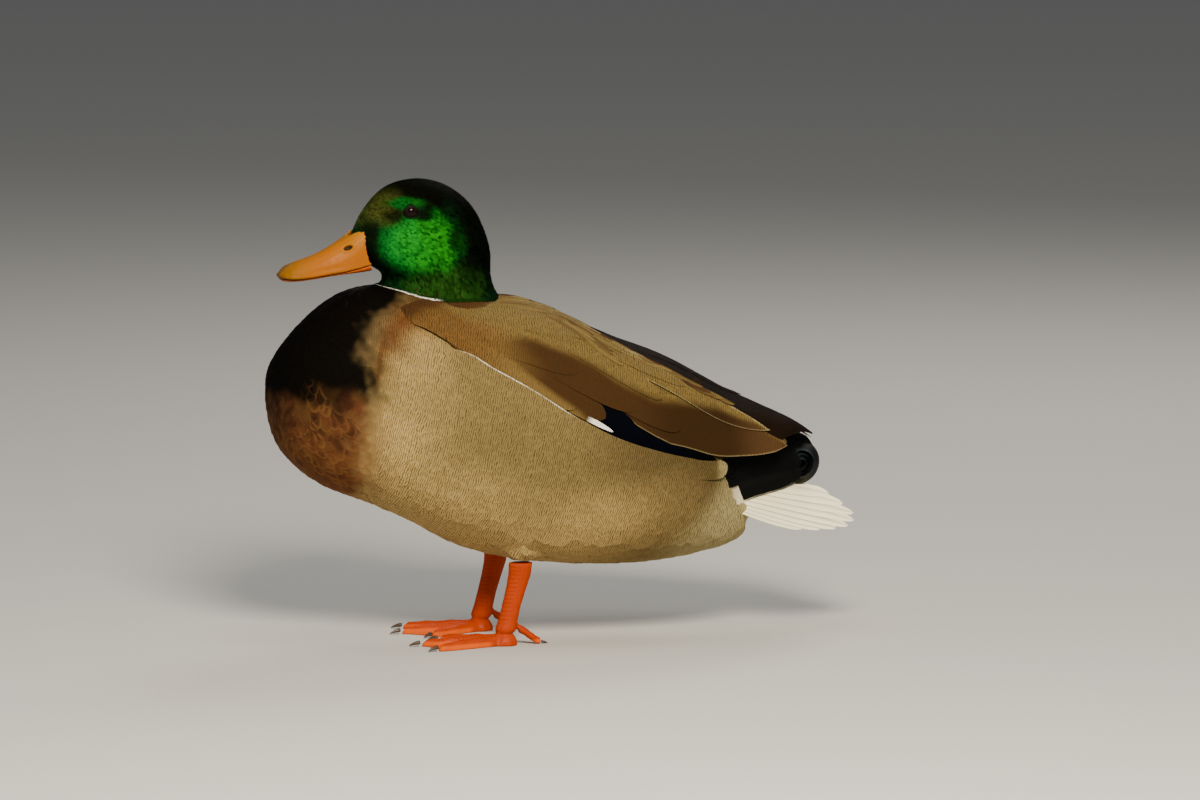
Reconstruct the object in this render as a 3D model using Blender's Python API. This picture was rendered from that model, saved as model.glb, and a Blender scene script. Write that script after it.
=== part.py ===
"""A mallard drake standing on both feet, at life size, as a still museum model.

The duck faces -Y, its left side is +X, and the floor is z = 0. Every length in this
file is in millimetres and is measured from the point on the floor below the joints of
the feet; place() turns it into metres and moves the middle of the duck to the origin.
A section of the body is a rounded outline between a point of its upper line and a point
of its lower line, so that the breast, trunk, wings and neck all follow from one table.
"""

import math

import bmesh
import bpy
from mathutils import Matrix, Vector

METRES = 0.001
MIDDLE_Y = 31.4  # the middle of the duck's length lies this far behind the foot joints
GAP = 0.35  # between pieces that touch
SKIN_GAP = 0.8  # between the body's flat-faced skin and the pieces that stand on it
MERGE = 0.00001
SHARP_ANGLE = math.radians(40)

BODY_SIDES = 26
RING_STEP = 0.5  # rows between the body's rings
BODY_FULLNESS = 2.25  # 2 is an ellipse, and more is squarer
BREAST_END = 5.4  # rows of the body's table, counted from the breast
WING_START = 5.8

# upper line y, z; lower line y, z; half width; height of the widest level, as a share;
# angle from the back's ridge to the wing's lower edge
FRONT_ROWS = (
    (-139.5, 149, -139.5, 147, 0.6, 0.50, 40),
    (-135.5, 162.5, -138, 134, 20, 0.50, 40),
    (-125.5, 176, -134, 115, 34, 0.48, 40),
    (-112.5, 189.5, -123.5, 101, 44, 0.47, 40),
    (-96, 201, -107.5, 89, 52, 0.46, 40),
    (-77, 206, -86, 80.5, 57.5, 0.45, 40),
    (-52, 203, -58, 68, 62, 0.45, 44),
    (-25, 196.5, -28, 53, 65.5, 0.44, 58),
    (6, 194.5, 4, 45, 67.5, 0.44, 68),
    (36, 184, 36, 41.5, 67, 0.45, 74.5),
    (66, 171, 66, 40.5, 63, 0.46, 80),
)
WING_REAR_ROWS = (
    (92, 160.5, 92, 42, 56, 0.48, 86),
    (113, 149, 114, 46, 48, 0.52, 90),
    (128, 140.5, 131, 50, 42, 0.58, 90),
    (145, 133.5, 145, 50, 36, 0.66, 90),
    (160, 127, 160, 50, 31, 0.76, 90),
    (171, 120.5, 171, 50, 20, 0.84, 90),
    (180, 113.5, 180, 50, 9, 0.95, 90),
)
TRUNK_REAR_ROWS = (
    (92, 153, 92, 42, 56, 0.48, 86),
    (110, 134, 113, 45.5, 47, 0.49, 90),
    (123, 114, 129, 49.5, 37, 0.50, 90),
    (133, 95, 138.5, 55, 25, 0.48, 90),
    (139, 78, 142, 63, 9, 0.50, 90),
    (141, 71, 141.5, 69, 0.6, 0.50, 90),
)
WING_ROWS = FRONT_ROWS + WING_REAR_ROWS
TRUNK_ROWS = FRONT_ROWS + TRUNK_REAR_ROWS

WING_THICKNESS = 4.5
WING_TIP_THICKNESS = 1.2
WING_THINS_FROM = 9.0  # row
FLANK_LIP = 0.9  # how far the flank stands out past the wing's lower feathers
SPECULUM_DEPTH = 0.4  # how much deeper the secondaries lie than the coverts
POCKET_MARGIN = math.radians(0.6)  # of the trunk's pocket for the wings, past their edge
POCKET_HEIGHT = 14

# the wing's feathers: rows where they end, and shares of the way down from the ridge
SCAPULAR_END, COVERT_END, SECONDARY_END, TERTIAL_END = 10.2, 9.1, 12.4, 15.0
COVER_SHARE = 0.64  # between the scapulars and the coverts
BAND_SHARE = 0.80  # between the band above the secondaries and the secondaries
TERTIAL_TIP_SHARE = 0.93
TERTIAL_POINT = 0.7  # how far along the tertials start to narrow
TERTIAL_DROP = (0.5, 0.62)  # where along them their lower edge comes down to the flank
TERTIAL_PROUD = 0.3
SECONDARY_POINT = 0.8
PRIMARY_ROWS = (13.2, 17.0)
PRIMARY_UPPER = (0.01, 0.12)  # shares at their root and at their tip
PRIMARY_LOWER = (0.62, 0.45)
PRIMARY_THICKNESS = 1.2
RIDGE_SEAM, WING_SEAM, ROW_SEAM = 0.004, 0.008, 0.02  # two in shares, one in rows

# height; front y; back y; half width; how pointed the front is, 1 for an ellipse
HEAD_ROWS = (
    (178, -76, 6, 33, 1.0),
    (186, -71, 3, 30, 1.0),
    (194, -66, -1, 28, 1.0),
    (200, -65, -4, 26.5, 1.0),
    (206, -68, -6, 25, 1.0),
    (212, -77, -6.5, 24, 0.95),
    (218, -85, -6.5, 23, 0.88),
    (225, -89, -7.5, 22, 1.05),
    (232, -93, -9.5, 21, 1.6),
    (238, -91.5, -12, 20.5, 1.9),
    (244, -88, -15, 20.3, 1.55),
    (250, -83.5, -19.5, 19.6, 1.35),
    (256, -77.5, -26, 17.6, 1.15),
    (261, -70.5, -34, 13.5, 1.0),
    (264, -62, -42, 8, 1.0),
    (265.3, -53, -51, 0.5, 1.0),
)
HEAD_SIDES = 24
HEAD_CUT = 214.0  # the head node lies above this height and the neck below it
COLLAR_HEIGHT = 3.0
COLLAR_PROUD = 0.6
HEAD_TURN = math.radians(6)  # towards the duck's left
TURN_AXIS_Y = -38
TURN_FROM, TURN_TO = 194, 208  # the neck twists between these heights

# y; culmen height; edge height; half width; squareness of the arch
BILL_ROWS = (
    (-70, 241.5, 220, 9.6, 5.0),
    (-78, 241, 218, 10.4, 5.0),
    (-86, 238, 216, 10.7, 4.2),
    (-93, 233.6, 214.3, 10.4, 3.0),
    (-99, 230, 213.2, 10.0, 2.5),
    (-105, 226.6, 212.4, 9.9, 2.3),
    (-111, 223.7, 211.6, 10.2, 2.3),
    (-117, 221.4, 210.9, 10.9, 2.3),
    (-123, 219.6, 210.5, 11.6, 2.3),
    (-128, 217.7, 210.4, 11.4, 2.3),
    (-131.5, 215.4, 210.5, 9.0, 2.2),
    (-133.6, 213, 210.8, 4.0, 2.0),
)
BILL_ARCH_POINTS = 11
LOWER_BILL_INSET = 1.3
LOWER_BILL_SQUARENESS = 2.2
LOWER_BILL_DEPTHS = (5.2, 4.8, 3.6, 2.4, 1.8, 1.6, 1.5, 1.5, 1.6, 1.7, 1.5, 1.0)

EYE_RADIUS = 6.0
EYE_CENTRE = (14.8, -60.3, 247.0)

LEG_X = 30
THIGH_Y = 3.0
THIGH_RINGS = ((62, 11.5), (55, 10.5), (51, 9.2), (47.5, 7.6))  # height, radius
THIGH_LENGTH = 1.15  # front to back, as a share of its width
# height; y; half width; half depth
TARSUS_ROWS = (
    (47.1, 1.7, 6.4, 6.8),
    (40, 1.2, 5.8, 6.5),
    (32, -0.8, 5.0, 6.0),
    (22, -3.6, 4.7, 5.6),
    (14, -5.6, 5.3, 5.8),
    (9.5, -6.7, 5.9, 6.2),
    (7.6, -7.0, 5.4, 5.6),
)
FOOT_Y = -7.2
HUB_RADIUS = 7.4
HUB_HEIGHT = 7.2
TOE_LENGTHS = {"inner": 40.0, "middle": 48.0, "outer": 45.0}
TOE_ANGLES = {"inner": -27.0, "middle": 0.0, "outer": 26.0}  # from straight ahead, outwards
TOE_HALF_WIDTH = 3.4
TOE_TIP_HALF_WIDTH = 2.5
TOE_HEIGHT = 6.4
TOE_TIP_HEIGHT = 4.4
FOOT_TOE_IN = 6.0  # degrees
WEB_THICKNESS = 1.3
WEB_SCALLOP = 5.0
TOE_STEPS = (-5.5, -3.0, 0, 3.0, 5.5)  # degrees to each side of a toe's middle
WEB_AND_HEEL = (-13.5, 13.0, -40, -60, -90, -130, -170, 150, 110, 75, 50, 38)
FOOT_SHARES = (0, 0.12, 0.22, 0.38, 0.56, 0.76, 0.93, 1)  # of the way out from the hub
# y; height of the middle; radius, of the hind toe, whose end rests on the floor
HIND_TOE_ROWS = (
    (0.6, 9.4, 2.6),
    (4.4, 7.4, 2.6),
    (8.2, 4.2, 2.4),
    (11.0, 2.0, 2.25),
    (13.4, 1.8, 2.0),
)
HIND_CLAW_LENGTH = 4.0
HIND_CLAW_RADII = (1.25, 0.35)  # at its root and at its tip
HIND_CLAW_CLEARANCE = 0.2
CLAW_LENGTH = 6.5
CLAW_RADIUS = 1.5
CLAW_TAPER = 0.25
CLAW_HEIGHTS = (2.4, 0.7)  # at its root and at its tip

# y; ridge height; inner edge x; outer edge x; thickness
TAIL_ROWS = (
    (116, 92.5, 0.3, 24, 3.0),
    (128, 91, 0.3, 30, 2.8),
    (142, 89, 0.3, 34, 2.5),
    (156, 87, 0.3, 36, 2.2),
    (170, 84.5, 0.3, 35.5, 1.9),
    (184, 81.5, 0.6, 32, 1.6),
    (194, 79, 2.5, 27.5, 1.3),
    (200, 77.5, 8, 23, 1.1),
    (202.5, 76.8, 13, 19, 0.9),
)
TAIL_DROOP = math.tan(math.radians(31))

# y; crown above the tail's ridge; half width
RUMP_ROWS = (
    (104, 40, 36),
    (116, 31, 33),
    (128, 26, 26),
    (141, 21.5, 19),
    (153, 18.5, 14),
    (161, 14, 10),
    (166, 6, 5),
)
RUMP_FULLNESS = 2.1
# y; keel below the tail's ridge; half width
UNDERTAIL_ROWS = (
    (112, 24, 26),
    (128, 21, 28),
    (142, 18.5, 27),
    (156, 15.5, 23.5),
    (168, 12.5, 18),
    (178, 10, 11),
    (184, 8.5, 4),
)

CURL_X = 4.4
CURL_CENTRE = (172.5, 96.5)  # y, z
CURL_RADII = (13.0, 9.5)  # at its root and at its tip
CURL_TURN = (-104, 138)  # degrees round the centre, from straight back
CURL_WIDTHS = (3.4, 1.5)
CURL_THICKNESS = 1.2
CURL_SECTION = ((-1, 0), (0, 0.6), (1, 0), (1, -1), (0, -0.6), (-1, -1))

LOOKS = {  # base colour, roughness
    "green": ((0.01, 0.16, 0.06, 1), 0.35),
    "white": ((0.80, 0.78, 0.72, 1), 0.7),
    "chestnut": ((0.085, 0.035, 0.02, 1), 0.6),
    "grey": ((0.42, 0.36, 0.27, 1), 0.75),
    "brown": ((0.20, 0.14, 0.09, 1), 0.65),
    "blue": ((0.02, 0.03, 0.12, 1), 0.35),
    "dusk": ((0.05, 0.04, 0.03, 1), 0.6),
    "black": ((0.012, 0.012, 0.012, 1), 0.4),
    "orange": ((0.80, 0.17, 0.01, 1), 0.45),
    "yellow": ((0.75, 0.47, 0.02, 1), 0.35),
    "horn": ((0.04, 0.03, 0.02, 1), 0.4),
    "eye": ((0.02, 0.01, 0.006, 1), 0.05),
}


def place(point):
    x, y, z = point
    return Vector((x, y - MIDDLE_Y, z)) * METRES


def along(rows, position):
    """The row at a position between whole rows, on a smooth curve through all of them."""
    last = len(rows) - 1
    i = min(max(int(position), 0), last - 1)
    t = position - i
    before, start, end, after = (rows[min(max(k, 0), last)] for k in (i - 1, i, i + 1, i + 2))
    found = []
    for a, b, c, d in zip(before, start, end, after):
        bend = (2 * a - 5 * b + 4 * c - d) * t * t + (3 * b - 3 * c + d - a) * t**3
        found.append(0.5 * (2 * b + (c - a) * t + bend))
    return found


def spread(first, last, count):
    return [first + (last - first) * i / (count - 1) for i in range(count)]


def blend(a, b, share):
    return a + (b - a) * min(max(share, 0), 1)


def rounded(angle, fullness):
    """How far across and up, from -1 to 1, a rounded outline is at an angle from its top."""
    power = 2 / fullness
    across, up = math.sin(angle), math.cos(angle)
    return (
        math.copysign(abs(across) ** power, across),
        math.copysign(abs(up) ** power, up),
    )


def body_point(rows, position, angle, sink=0.0):
    """A point of the body's skin, or one that lies sink below it."""
    top_y, top_z, low_y, low_z, half_width, share, _ = along(rows, position)
    across, up = rounded(angle, BODY_FULLNESS)
    mid_y, mid_z = blend(low_y, top_y, share), blend(low_z, top_z, share)
    reach = top_z - mid_z if up > 0 else mid_z - low_z
    lean = top_y - mid_y if up > 0 else mid_y - low_y
    slope = BODY_FULLNESS - 1
    out_x = math.copysign(abs(across) ** slope, across) / max(half_width, 1)
    out_z = math.copysign(abs(up) ** slope, up) / max(reach, 1)
    steepness = math.hypot(out_x, out_z)
    return (
        across * half_width - sink * out_x / steepness,
        mid_y + up * lean,
        mid_z + up * reach - sink * out_z / steepness,
    )


def body_ring(position):
    angles = [2 * math.pi * i / BODY_SIDES for i in range(BODY_SIDES)]
    return [body_point(TRUNK_ROWS, position, angle) for angle in angles]


def wing_thickness(position):
    share = (position - WING_THINS_FROM) / (len(WING_ROWS) - 1 - WING_THINS_FROM)
    return blend(WING_THICKNESS, WING_TIP_THICKNESS, share)


def wing_edge(position):
    return math.radians(min(along(WING_ROWS, position)[-1], 90))


def turned(point):
    """The point after the head is turned, where it lies on the head or neck."""
    x, y, z = point
    turn = HEAD_TURN * min(max((z - TURN_FROM) / (TURN_TO - TURN_FROM), 0), 1)
    away = y - TURN_AXIS_Y
    return (
        x * math.cos(turn) - away * math.sin(turn),
        TURN_AXIS_Y + x * math.sin(turn) + away * math.cos(turn),
        z,
    )


def head_ring(position, grow=0.0):
    height, front, back, half_width, point = along(HEAD_ROWS, position)
    middle, half_length = (front + back) / 2, (back - front) / 2 + grow
    ring = []
    for i in range(HEAD_SIDES):
        angle = 2 * math.pi * i / HEAD_SIDES
        across, ahead = math.sin(angle), math.cos(angle)
        if ahead > 0:
            across = math.copysign(abs(across) ** point, across)
        ring.append(turned((across * (half_width + grow), middle - ahead * half_length, height)))
    return ring


def head_position(height):
    """The position in the head's table of a height."""
    low, high = 0.0, len(HEAD_ROWS) - 1.0
    for _ in range(40):
        middle = (low + high) / 2
        if along(HEAD_ROWS, middle)[0] < height:
            low = middle
        else:
            high = middle
    return low


def look(name):
    if name in bpy.data.materials:
        return bpy.data.materials[name]
    colour, roughness = LOOKS[name]
    material = bpy.data.materials.new(name)
    material.use_nodes = True
    shader = material.node_tree.nodes["Principled BSDF"]
    shader.inputs["Base Color"].default_value = colour
    shader.inputs["Roughness"].default_value = roughness
    return material


def start():
    for obj in list(bpy.data.objects):
        bpy.data.objects.remove(obj, do_unlink=True)
    for name in ("mallard_drake", "cutters"):
        collection = bpy.data.collections.new(name)
        bpy.context.scene.collection.children.link(collection)


def loft(name, rings, finish, swell=0.0):
    """A closed solid through rings of equal length, with a flat cap on each open end.

    Swell moves its surface outwards, for a cutter that leaves room round the shape.
    """
    bm = bmesh.new()
    rows = [[bm.verts.new(place(point)) for point in ring] for ring in rings]
    count = len(rows[0])
    for here, there in zip(rows, rows[1:]):
        for i in range(count):
            j = (i + 1) % count
            bm.faces.new((here[i], here[j], there[j], there[i]))
    for ring, corners in ((rings[0], rows[0]), (rings[-1], rows[-1])):
        if (Vector(ring[0]) - Vector(ring[count // 2])).length > GAP:
            bm.faces.new(corners)
    bmesh.ops.remove_doubles(bm, verts=bm.verts, dist=MERGE)
    bmesh.ops.recalc_face_normals(bm, faces=bm.faces)
    bm.normal_update()
    for vert in bm.verts:
        vert.co += vert.normal * swell * METRES
    mesh = bpy.data.meshes.new(name)
    bm.to_mesh(mesh)
    bm.free()
    mesh.shade_smooth()
    mesh.set_sharp_from_angle(angle=SHARP_ANGLE)
    mesh.materials.append(look(finish))
    obj = bpy.data.objects.new(name, mesh)
    bpy.data.collections["mallard_drake"].objects.link(obj)
    return obj


def as_cutter(obj):
    bpy.data.collections["mallard_drake"].objects.unlink(obj)
    bpy.data.collections["cutters"].objects.link(obj)
    obj.hide_render = True
    obj.display_type = "WIRE"
    return obj


def cut(obj, cutter, operation="DIFFERENCE"):
    modifier = obj.modifiers.new(f"{operation.lower()} {cutter.name}", "BOOLEAN")
    modifier.operation = operation
    modifier.solver = "EXACT"
    modifier.object = cutter


def body_loft(name, first, last, finish, swell=0.0):
    """A length of the body between two rows; every length has its rings at the same rows."""
    between = [k * RING_STEP for k in range(int(last / RING_STEP) + 1)]
    positions = [first] + [p for p in between if first < p < last] + [last]
    return loft(name, [body_ring(position) for position in positions], finish, swell)


def wing_plate(name, side, rows, finish, proud=0.0, thickness=None, columns=6):
    """A plate over the back, from (row, share at its upper edge, share at its lower edge).

    A share is of the angle from the ridge of the back, 0, to the wing's lower edge, 1.
    """
    rings = []
    for position, upper, lower in rows:
        deep = wing_thickness(position) if thickness is None else proud + thickness
        edge = wing_edge(position)
        angles = [side * edge * share for share in spread(upper, lower, columns)]
        outer = [body_point(WING_ROWS, position, angle, proud) for angle in angles]
        inner = [body_point(WING_ROWS, position, angle, deep) for angle in angles]
        rings.append(outer + inner[::-1])
    return loft(name, rings, finish)


def outline(first, last, count, upper, lower):
    """Rows for wing_plate, with the shares given as functions of the distance gone."""
    return [
        (blend(first, last, gone), upper(gone), lower(gone)) for gone in spread(0, 1, count)
    ]


def make_body():
    trunk_end = len(TRUNK_ROWS) - 1
    seam = 0.014  # in rows
    body_loft("breast", 0, BREAST_END, "chestnut")
    trunk = body_loft("trunk", BREAST_END + seam, trunk_end, "grey")
    pocket_rows = spread(WING_START, len(WING_ROWS) - 1, 20)
    rings = []
    for position in pocket_rows:
        edge = wing_edge(position) + POCKET_MARGIN
        angles = spread(-edge, edge, 15)
        floor = wing_thickness(position) + SKIN_GAP
        outer = [body_point(WING_ROWS, position, angle, -POCKET_HEIGHT) for angle in angles]
        inner = [body_point(WING_ROWS, position, angle, floor) for angle in angles]
        rings.append(outer + inner[::-1])
    pocket = as_cutter(loft("wing_pocket", rings, "grey"))
    cut(trunk, pocket)
    return as_cutter(body_loft("trunk_room", 0, trunk_end, "grey", swell=SKIN_GAP))


def make_wing(side, side_name):
    def node(part):
        return f"{part}_{side_name}"

    def steady(share):
        return lambda gone: share

    def tertial_top(gone):
        narrowed = (gone - TERTIAL_POINT) / (1 - TERTIAL_POINT)
        return blend(RIDGE_SEAM, TERTIAL_TIP_SHARE, narrowed)

    def tertial_bottom(gone):
        start, end = TERTIAL_DROP
        return blend(BAND_SHARE - WING_SEAM, 1, (gone - start) / (end - start))

    def secondary_bottom(gone):
        return 1.0 - 0.1 * max(gone - SECONDARY_POINT, 0)

    front = WING_START + 1.5 * ROW_SEAM
    wing_plate(
        node("scapulars"),
        side,
        outline(front, SCAPULAR_END, 9, steady(RIDGE_SEAM), steady(COVER_SHARE - WING_SEAM)),
        "grey",
    )
    wing_plate(
        node("wing_coverts"),
        side,
        outline(front, COVERT_END, 8, steady(COVER_SHARE + WING_SEAM), steady(1.0)),
        "brown",
        proud=FLANK_LIP,
        columns=4,
    )
    behind_coverts = COVERT_END + ROW_SEAM
    wing_plate(
        node("secondaries"),
        side,
        outline(
            behind_coverts, SECONDARY_END, 8, steady(BAND_SHARE + WING_SEAM), secondary_bottom
        ),
        "blue",
        proud=FLANK_LIP + SPECULUM_DEPTH,
        columns=4,
    )
    wing_plate(
        node("tertials"),
        side,
        outline(SCAPULAR_END + ROW_SEAM, TERTIAL_END, 11, tertial_top, tertial_bottom),
        "brown",
        proud=TERTIAL_PROUD,
    )
    wing_plate(
        node("upper_wing_band"),
        side,
        outline(
            behind_coverts,
            SCAPULAR_END,
            4,
            steady(COVER_SHARE + WING_SEAM),
            steady(BAND_SHARE - WING_SEAM),
        ),
        "brown",
        proud=FLANK_LIP,
        columns=4,
    )
    wing_plate(
        node("primaries"),
        side,
        outline(
            *PRIMARY_ROWS,
            9,
            lambda gone: blend(*PRIMARY_UPPER, gone),
            lambda gone: blend(*PRIMARY_LOWER, gone),
        ),
        "dusk",
        proud=wing_thickness(PRIMARY_ROWS[0]) + 2 * GAP,
        thickness=PRIMARY_THICKNESS,
        columns=5,
    )


def make_head(trunk_room):
    top, trunk_end = len(HEAD_ROWS) - 1, len(TRUNK_ROWS) - 1
    seam = GAP / 2
    head = loft(
        "head",
        [head_ring(p) for p in spread(head_position(HEAD_CUT + seam), top, 16)],
        "green",
    )
    neck_rings = spread(0, head_position(HEAD_CUT - seam), 9)
    neck = loft("neck", [head_ring(p) for p in neck_rings], "green")
    collar = loft("collar", [head_ring(p, COLLAR_PROUD) for p in neck_rings], "white")
    collar_room = as_cutter(
        body_loft("collar_room", 0, trunk_end, "white", swell=SKIN_GAP + COLLAR_HEIGHT + GAP)
    )
    collar_top = as_cutter(
        body_loft("collar_top", 0, trunk_end, "white", swell=SKIN_GAP + COLLAR_HEIGHT)
    )
    cut(neck, collar_room)
    cut(collar, collar_top, "INTERSECT")
    cut(collar, trunk_room)
    head_room = as_cutter(
        loft("head_room", [head_ring(p) for p in spread(0, top, 30)], "green", swell=SKIN_GAP)
    )
    return head, head_room


def bill_ring(row, inset=0.0, depth=None):
    """A section of the upper bill, arched over a flat edge, or of the lower one under it."""
    y, top, edge, half_width, squareness = row
    half_width -= inset
    angles = spread(-math.pi / 2, math.pi / 2, BILL_ARCH_POINTS)
    ring = []
    for angle in angles:
        across, up = rounded(angle, squareness if depth is None else LOWER_BILL_SQUARENESS)
        if depth is None:
            height = edge + up * (top - edge)
        else:
            height = edge - GAP - up * depth
        ring.append(turned((across * half_width, y, height)))
    level = edge if depth is None else edge - GAP
    for share in (0.5, -0.5):
        ring.append(turned((share * half_width, y, level)))
    return ring


def make_bill(head_room):
    positions = spread(0, len(BILL_ROWS) - 1, 14)
    upper = loft("bill_upper", [bill_ring(along(BILL_ROWS, p)) for p in positions], "yellow")
    depths = [(depth,) for depth in LOWER_BILL_DEPTHS]
    rings = [
        bill_ring(along(BILL_ROWS, p), LOWER_BILL_INSET, along(depths, p)[0])
        for p in positions[:-1]
    ]
    lower = loft("bill_lower", rings, "orange")
    cut(upper, head_room)
    cut(lower, head_room)


def make_eye(side, side_name, head):
    x, y, z = EYE_CENTRE
    centre = place(turned((side * x, y, z)))
    for name, radius in (("eye", EYE_RADIUS), ("eye_socket", EYE_RADIUS + GAP)):
        bm = bmesh.new()
        bmesh.ops.create_uvsphere(bm, u_segments=12, v_segments=8, radius=radius * METRES)
        bmesh.ops.rotate(bm, verts=bm.verts, matrix=Matrix.Rotation(math.pi / 2, 3, "Y"))
        bmesh.ops.translate(bm, verts=bm.verts, vec=centre)
        mesh = bpy.data.meshes.new(f"{name}_{side_name}")
        bm.to_mesh(mesh)
        bm.free()
        mesh.shade_smooth()
        mesh.materials.append(look("eye"))
        obj = bpy.data.objects.new(mesh.name, mesh)
        bpy.data.collections["mallard_drake"].objects.link(obj)
    cut(head, as_cutter(obj))


def oval(centre, half_width, half_depth, count=12):
    x, y, z = centre
    angles = [2 * math.pi * i / count for i in range(count)]
    return [
        (x + half_width * math.sin(a), y + half_depth * math.cos(a), z) for a in angles
    ]


def toe_reach(degrees):
    """How far the foot reaches from its hub, in a direction between or outside the toes."""
    names = sorted(TOE_ANGLES, key=TOE_ANGLES.get)
    for first, second in zip(names, names[1:]):
        start, end = TOE_ANGLES[first], TOE_ANGLES[second]
        if start <= degrees <= end:
            share = (degrees - start) / (end - start)
            scallop = WEB_SCALLOP * math.sin(math.pi * share) ** 0.6
            return blend(TOE_LENGTHS[first], TOE_LENGTHS[second], share) - scallop
    nearest = min(names, key=lambda name: abs(degrees - TOE_ANGLES[name]))
    away = math.radians(abs(degrees - TOE_ANGLES[nearest]))
    if away > math.pi / 2:
        return HUB_RADIUS
    return max(min(TOE_LENGTHS[nearest], TOE_HALF_WIDTH / math.sin(away)), HUB_RADIUS)


def foot_height(degrees, radius):
    """The height of the foot's upper side: the hub, a toe or the web."""
    height = WEB_THICKNESS
    if radius < HUB_RADIUS:
        height = HUB_HEIGHT * math.sqrt(max(1 - (radius / HUB_RADIUS) ** 3, 0.04))
    for name, angle in TOE_ANGLES.items():
        off = math.radians(degrees - angle)
        if abs(off) > math.pi / 2:
            continue
        gone = radius * math.cos(off) / TOE_LENGTHS[name]
        width = blend(TOE_HALF_WIDTH, TOE_TIP_HALF_WIDTH, gone)
        share = abs(radius * math.sin(off)) / width
        if share < 1:
            crown = blend(TOE_HEIGHT, TOE_TIP_HEIGHT, gone)
            height = max(height, crown * math.sqrt(1 - share * share))
    return height


def foot_point(side, degrees, radius, height):
    heading = math.radians(degrees - FOOT_TOE_IN)
    return (
        side * (LEG_X + radius * math.sin(heading)),
        FOOT_Y - radius * math.cos(heading),
        height,
    )


def make_foot(side, side_name):
    directions = [a + step for a in TOE_ANGLES.values() for step in TOE_STEPS]
    directions = sorted(directions + list(WEB_AND_HEEL))
    rings = []
    for share in FOOT_SHARES:
        ring = []
        for degrees in directions:
            radius = toe_reach(degrees) * share
            height = foot_height(degrees, radius)
            if share == 1:
                height = min(height, WEB_THICKNESS)
            ring.append(foot_point(side, degrees, radius, height))
        rings.append(ring)
    rings.append([(x, y, 0) for x, y, _ in rings[-1]])
    loft(f"foot_{side_name}", rings, "orange")
    for toe, degrees in TOE_ANGLES.items():
        rings = []
        for share in (0, 0.35, 0.7, 1):
            radius = TOE_LENGTHS[toe] + GAP + CLAW_LENGTH * share
            x, y, z = foot_point(side, degrees, radius, blend(*CLAW_HEIGHTS, share * share))
            size = CLAW_RADIUS * blend(1, CLAW_TAPER, share**1.5)
            rings.append(claw_ring((x, y, z), degrees * side, size))
        loft(f"claw_{toe}_{side_name}", rings, "horn")


def claw_ring(centre, degrees, size):
    x, y, z = centre
    heading = math.radians(degrees)
    ring = []
    for i in range(6):
        angle = math.pi * i / 3
        out = size * math.sin(angle)
        ring.append((x + out * math.cos(heading), y + out * math.sin(heading), z + size * math.cos(angle)))
    return ring


def make_leg(side, side_name, trunk_room):
    x = side * LEG_X
    thigh = loft(
        f"thigh_{side_name}",
        [oval((x, THIGH_Y, z), radius, radius * THIGH_LENGTH) for z, radius in THIGH_RINGS],
        "grey",
    )
    cut(thigh, trunk_room)
    loft(
        f"tarsus_{side_name}",
        [oval((x, y, z), width, depth) for z, y, width, depth in TARSUS_ROWS],
        "orange",
    )
    rings = []
    for y, z, radius in HIND_TOE_ROWS:
        rings.append([(cx, y, max(z + cz, 0)) for cx, cz in circle(x, radius, 8)])
    loft(f"hallux_{side_name}", rings, "orange")
    rings = []
    for gone in spread(0, 1, 4):
        y = HIND_TOE_ROWS[-1][0] + GAP + HIND_CLAW_LENGTH * gone
        radius = blend(*HIND_CLAW_RADII, gone)
        z = radius + HIND_CLAW_CLEARANCE
        rings.append([(cx, y, z + cz) for cx, cz in circle(x, radius, 6)])
    loft(f"claw_hind_{side_name}", rings, "horn")
    make_foot(side, side_name)


def circle(x, radius, count):
    angles = [2 * math.pi * i / count for i in range(count)]
    return [(x + radius * math.sin(a), radius * math.cos(a)) for a in angles]


def tail_height(x, y):
    """The upper side of the tail, a ridge that droops to each side."""
    rows = [(row[0], row[1]) for row in TAIL_ROWS]
    for (y0, z0), (y1, z1) in zip(rows, rows[1:]):
        if y <= y1 or (y1, z1) == rows[-1]:
            return z0 + (z1 - z0) * (y - y0) / (y1 - y0) - abs(x) * TAIL_DROOP
    return rows[-1][1]


def make_tail(trunk_room):
    for side, side_name in ((1, "left"), (-1, "right")):
        rings = []
        for position in spread(0, len(TAIL_ROWS) - 1, 11):
            y, _, inner, outer, thickness = along(TAIL_ROWS, position)
            xs = [side * x for x in spread(inner, outer, 5)]
            upper = [(x, y, tail_height(x, y)) for x in xs]
            rings.append(upper + [(x, y, z - thickness) for x, y, z in upper[::-1]])
        cut(loft(f"tail_{side_name}", rings, "white"), trunk_room)
    thickest = TAIL_ROWS[0][-1]
    for name, rows, sign, clear in (
        ("rump", RUMP_ROWS, 1, GAP),
        ("undertail", UNDERTAIL_ROWS, -1, thickest + GAP),
    ):
        rings = []
        for position in spread(0, len(rows) - 1, 9):
            y, crown, half_width = along(rows, position)
            arch, floor = [], []
            ridge = tail_height(0, y) + sign * clear
            for angle in spread(-math.pi / 2, math.pi / 2, 9):
                across, up = rounded(angle, RUMP_FULLNESS)
                x = across * half_width
                side_z = tail_height(half_width, y) + sign * clear
                arch.append((x, y, side_z + up * (ridge + sign * crown - side_z)))
            for share in (0.5, 0, -0.5):
                x = share * half_width
                floor.append((x, y, tail_height(x, y) + sign * clear))
            rings.append(arch + floor)
        cut(loft(name, rings, "black"), trunk_room)


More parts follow.
